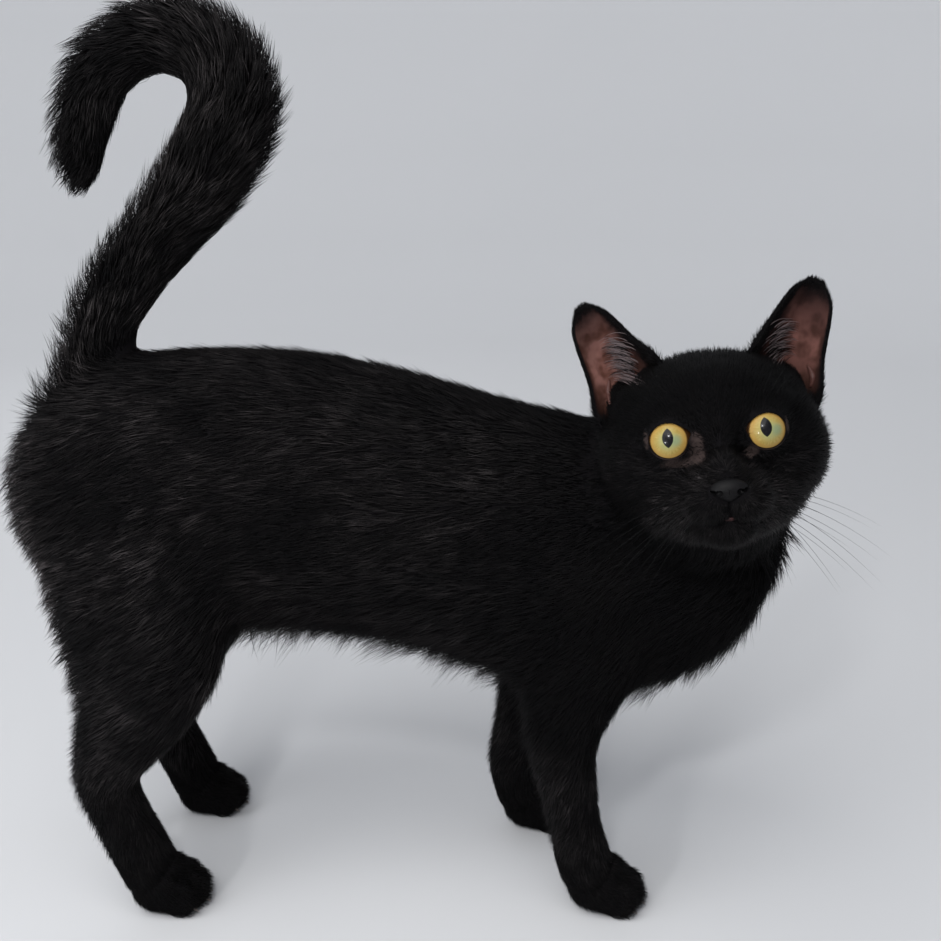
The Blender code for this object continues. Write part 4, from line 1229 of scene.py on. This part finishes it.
class Paint:
    """A material with its main shader, whose constants are set on its own sockets."""

    def __init__(self, name, **constants):
        self.material = bpy.data.materials.new(name)
        self.material.use_nodes = True
        self.tree = self.material.node_tree
        self.shader = self.tree.nodes["Principled BSDF"]
        for label, value in constants.items():
            socket = self.shader.inputs[label.replace("_", " ").title().replace("Ior", "IOR")]
            socket.default_value = (*value, 1.0) if isinstance(value, tuple) else value

    def node(self, kind, settings=None, values=None):
        """Any other node: its settings first, then the values or links of its sockets."""
        made = self.tree.nodes.new(kind)
        for label, value in (settings or {}).items():
            setattr(made, label, value)
        for label, value in (values or {}).items():
            self.feed(made.inputs[label], value)
        return Node(self, made)

    def feed(self, socket, value):
        if isinstance(value, Shade):
            self.tree.links.new(value.socket, socket)
        elif isinstance(value, tuple) and len(value) == 3 and len(socket.default_value) == 4:
            socket.default_value = (*value, 1.0)
        else:
            socket.default_value = value

    def set(self, label, value):
        self.feed(self.shader.inputs[label], value)

    def place(self, frame_of_piece=None):
        """Object coordinates, or those of a frame, in centimetres."""
        coordinate = self.node("ShaderNodeTexCoord").out("Object")
        if frame_of_piece is None:
            return coordinate
        values = {
            "Vector": coordinate,
            "Location": tuple(frame_of_piece.to_translation()),
            "Rotation": tuple(frame_of_piece.to_euler()),
            "Scale": (CM, CM, CM),
        }
        return self.node("ShaderNodeMapping", {"vector_type": "TEXTURE"}, values).out()

    def split(self, vector):
        made = self.node("ShaderNodeSeparateXYZ", None, {0: vector})
        return made.out("X"), made.out("Y"), made.out("Z")

    def noise(self, vector, scale, detail):
        values = {"Vector": vector, "Scale": scale, "Detail": detail}
        return self.node("ShaderNodeTexNoise", None, values).out("Fac")

    def own(self, name):
        """The piece's own attribute of that name."""
        return self.node("ShaderNodeAttribute", {"attribute_name": name}).out("Fac")

    def mix(self, share, a, b):
        values = {"Factor": share, 6: a, 7: b}
        return self.node("ShaderNodeMix", {"data_type": "RGBA"}, values).out(2)

    def bump(self, height, distance, strength):
        values = {"Height": height, "Distance": distance, "Strength": strength}
        self.set("Normal", self.node("ShaderNodeBump", None, values).out())


def coat_paint():
    paint = Paint("black_hair", roughness=0.56, specular_ior_level=0.07)
    where = paint.place()
    # Broad noise patches: painted sheen on the hair tips, and a slightly lighter base colour.
    patches = paint.noise(where, 24.0, 3.0).ramp(0.35, 0.70)
    # Lighter tips, partly the hair's own brownish tips and partly painted sheen, cubed by lightness so that a
    # few glint.
    light = paint.own("tip") * (paint.own("shade") ** 3.0) * (0.25 + 0.75 * patches)
    base = paint.mix(patches, (0.0014, 0.0013, 0.0016), (0.0028, 0.0025, 0.0027))
    paint.set("Base Color", paint.mix(light, base, (0.070, 0.062, 0.063)))
    return paint.material


def skin_paint():
    """The dark skin, the brown of the ears' open sides, with painted light on the right ear and painted shade
    on the left, and the bare skin by the eyes.
    """
    paint = Paint("skin", roughness=0.85, specular_ior_level=0.04)
    where = paint.place()
    grain = paint.noise(where, 700.0, 3.0)
    blotch = paint.noise(where, 130.0, 2.0).ramp(0.35, 0.68)
    # One reddish-brown ear skin, as a painted lit copy on the right ear and a painted shaded copy on the
    # left.
    right_ear_painted_lit = paint.mix(blotch, (0.070, 0.028, 0.020), (0.190, 0.092, 0.078))
    left_ear_painted_shaded = paint.mix(blotch, (0.042, 0.018, 0.014), (0.112, 0.050, 0.042))
    across, _, up = paint.split(paint.place(head_frame()))
    ear = paint.mix(across.ramp(-1.0, 1.0), right_ear_painted_lit, left_ear_painted_shaded)
    ear = paint.mix(up.ramp(1.0, 2.8), (0.018, 0.008, 0.006), ear)
    bare = paint.mix(grain, (0.018, 0.012, 0.011), (0.042, 0.031, 0.029))
    color = paint.mix(paint.own("bare"), (0.0025, 0.0022, 0.0026), bare)
    paint.set("Base Color", paint.mix(paint.own("inner_ear") ** 1.8, color, ear))
    paint.bump(grain, 0.25 * MM, 0.5)
    return paint.material


def iris_paint(side):
    """A golden iris, greener by its narrow pupil and dark at its edge, under a wet gloss."""
    name = "eye_" + SIDES[side]
    paint = Paint(name, roughness=0.3, specular_ior_level=0.1, coat_weight=0.16, coat_roughness=0.02)
    x, _, z = paint.split(paint.place(eye_frame(side)))
    off = (x * x + z * z) ** 0.5
    turn = paint.node("ShaderNodeMath", {"operation": "ARCTAN2"}, {0: z, 1: x}).out()
    spot = paint.node("ShaderNodeCombineXYZ", None, {0: turn * 5.0, 1: off * 1.6, 2: 0.0}).out()
    fibres = paint.noise(spot, 3.0, 5.0)
    gold = paint.mix(fibres.ramp(0.3, 0.72), (0.235, 0.170, 0.040), (0.295, 0.226, 0.074))
    near = paint.mix(fibres, (0.185, 0.181, 0.065), (0.26, 0.25, 0.107))
    color = paint.mix(1.0 - (off + 0.10 * fibres).ramp(0.28, 0.56), gold, near)
    beside = (((x - 0.30) * (x - 0.30) + z * z) ** 0.5).ramp(0.08, 0.34)
    color = paint.mix(beside, (0.16, 0.19, 0.10), color)
    color = paint.mix((off + 0.06 * fibres).ramp(0.52, 0.70), color, (0.285, 0.175, 0.045))
    color = paint.mix(off.ramp(IRIS - 0.07, IRIS), color, (0.030, 0.012, 0.004))
    x, z = x - PUPIL_PLACES[side][0], z - PUPIL_PLACES[side][1]
    half_wide, half_high = PUPIL
    bow = (half_high * half_high + half_wide * half_wide) / (2 * half_wide)
    bulge = (abs(x) + (bow - half_wide)) ** 2.0 + z * z
    pupil = 1.0 - (bulge ** 0.5).ramp(bow - 0.012, bow + 0.012)
    paint.set("Base Color", paint.mix(pupil, color, (0.002, 0.002, 0.003)))
    return paint.material


def plain_paint(name, color, grain=None, **constants):
    paint = Paint(name, **constants)
    if grain:
        scale, depth = grain
        height = paint.noise(paint.place(), scale, 3.0)
        dark, light = (tuple(share * c for c in color) for share in (0.75, 1.25))
        paint.set("Base Color", paint.mix(height, dark, light))
        paint.bump(height, depth, 0.8)
    else:
        paint.set("Base Color", color)
    return paint.material


def dress(obj, material):
    obj.data.materials.clear()
    obj.data.materials.append(material)
    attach(obj, "root")
    return obj


def mark_skin(skin):
    """Puts on the skin how far each place is bare or an ear's inner side."""
    points, facing = coordinates(skin), normals(skin)
    for label, values in (("inner_ear", inside_ears(points, facing)), ("bare", bare_by_eyes(points))):
        attribute = skin.data.attributes.new(label, "FLOAT", "POINT")
        attribute.data.foreach_set("value", values.astype(np.float32))
    take(skin)
    bpy.ops.object.shade_smooth()


def add_light(name, spot, size, power, color):
    """A soft square light at a place in centimetres, aimed at the middle of the cat."""
    bpy.ops.object.light_add(type="AREA", location=at(*spot))
    lamp = named(name)
    lamp.data.size, lamp.data.energy, lamp.data.color = size * CM, power, color
    lamp.rotation_euler = (at(*LIT_PLACE) - lamp.location).to_track_quat("-Z", "Y").to_euler()


def floor_paint():
    """A plain pale floor, painted a little darker near the cat, where the lights are strongest, and lighter
    far off.
    """
    paint = Paint("floor", roughness=0.85, specular_ior_level=0.2)
    x, y, _ = paint.split(paint.place())
    far = ((x * x + y * y) ** 0.5).ramp(*FLOOR_RANGE)
    paint.set("Base Color", paint.mix(far, *FLOOR_COLORS))
    return paint.material


def make_studio():
    """A pale floor that rises into a bowl, a pale room, soft lights, and two small ones for the eyes."""
    bpy.ops.mesh.primitive_circle_add(vertices=96, radius=BOWL[0][0], fill_type="NGON")
    floor = named("floor")
    bpy.ops.object.mode_set(mode="EDIT")
    for (radius, height), (next_radius, next_height) in zip(BOWL, BOWL[1:]):
        bpy.ops.mesh.select_mode(type="EDGE")
        bpy.ops.mesh.select_all(action="DESELECT")
        bpy.ops.mesh.select_non_manifold()
        bpy.ops.mesh.extrude_edges_move(TRANSFORM_OT_translate={"value": (0, 0, next_height - height)})
        bpy.ops.transform.resize(value=(next_radius / radius, next_radius / radius, 1))
    bpy.ops.object.mode_set(mode="OBJECT")
    bpy.ops.object.shade_smooth()
    floor.data.materials.append(floor_paint())
    world = bpy.data.worlds.new("room")
    world.use_nodes = True
    room = world.node_tree.nodes["Background"]
    room.inputs["Color"].default_value, room.inputs["Strength"].default_value = (0.84, 0.87, 0.92, 1), 0.55
    bpy.context.scene.world = world
    bpy.context.scene.view_settings.view_transform = "Standard"
    for lamp in LIGHTS:
        add_light(*lamp)
    bpy.ops.object.camera_add(location=at(*CAMERA_PLACE), rotation=(CAMERA_PITCH, 0, 0))
    camera = named("camera")
    camera.data.lens, camera.data.sensor_width = LENS, SENSOR
    bpy.context.scene.camera = camera


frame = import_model()
random = np.random.default_rng(SEED)
GUIDES = guides()
EAR_SHEETS = {side: ear_sheet(side) for side in SIDES}

skin = make_trunk_skin()
for leg_name, leg in LEGS.items():
    cut(skin, make_paw_skin(leg_name, leg), "UNION")
head_skin = make_head_skin()
face = BVHTree.FromObject(head_skin, bpy.context.evaluated_depsgraph_get())
cut(skin, head_skin, "UNION")
for side in SIDES:
    cut(skin, make_ear(side), "UNION")
mark_skin(skin)
for piece in make_coat(skin):
    dress(piece, bpy.data.materials.get("black_hair") or coat_paint())
dress(skin, skin_paint())
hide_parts(*[name for name in frame["nodes"] if not name.startswith("eye_")])

skin_tree = BVHTree.FromObject(skin, bpy.context.evaluated_depsgraph_get())
rim = plain_paint("lid_rim", (0.010, 0.005, 0.004), roughness=0.45, specular_ior_level=0.15)
fold = plain_paint("third_lid", (0.050, 0.038, 0.045), roughness=0.4, specular_ior_level=0.2)
ear_hair = plain_paint("ear_hair", (0.115, 0.090, 0.092), roughness=0.5, specular_ior_level=0.2)
flesh_grain, leather_grain = (260.0, 0.2 * MM), (900.0, 0.12 * MM)
ear_fold = plain_paint("ear_fold", (0.055, 0.022, 0.018), flesh_grain, roughness=0.5, specular_ior_level=0.2)
for side in SIDES:
    eye = dress(make_eye(side), iris_paint(side))
    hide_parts(f"eye_{SIDES[side]}")
    dress(make_lid_rim(side), rim)
    dress(make_third_lid(side), fold)
    dress(make_ear_hairs(side, "ear_hairs", skin_tree), ear_hair)
    dress(make_ear_hairs(side, "ear_tufts", skin_tree), bpy.data.materials["black_hair"])
    dress(make_ear_folds(side, skin_tree), ear_fold)
black = (0.0036, 0.0034, 0.0038)
leather = plain_paint("nose_leather", black, leather_grain, roughness=0.5, specular_ior_level=0.08)
dress(make_nose(), leather)
dress(make_lip(face), plain_paint("lip", (0.020, 0.007, 0.007), roughness=0.5, specular_ior_level=0.15))
whisker = plain_paint("whisker", (0.003, 0.003, 0.003), roughness=0.5, specular_ior_level=0.1)
dress(make_whiskers(face), whisker)
claw = plain_paint("claw", (0.12, 0.10, 0.09), roughness=0.35)
pad = plain_paint("pad", (0.010, 0.009, 0.009), roughness=0.6)
for leg_name, leg in LEGS.items():
    dress(make_claws(leg_name, leg), claw)
    dress(make_pads(leg_name, leg), pad)

make_studio()
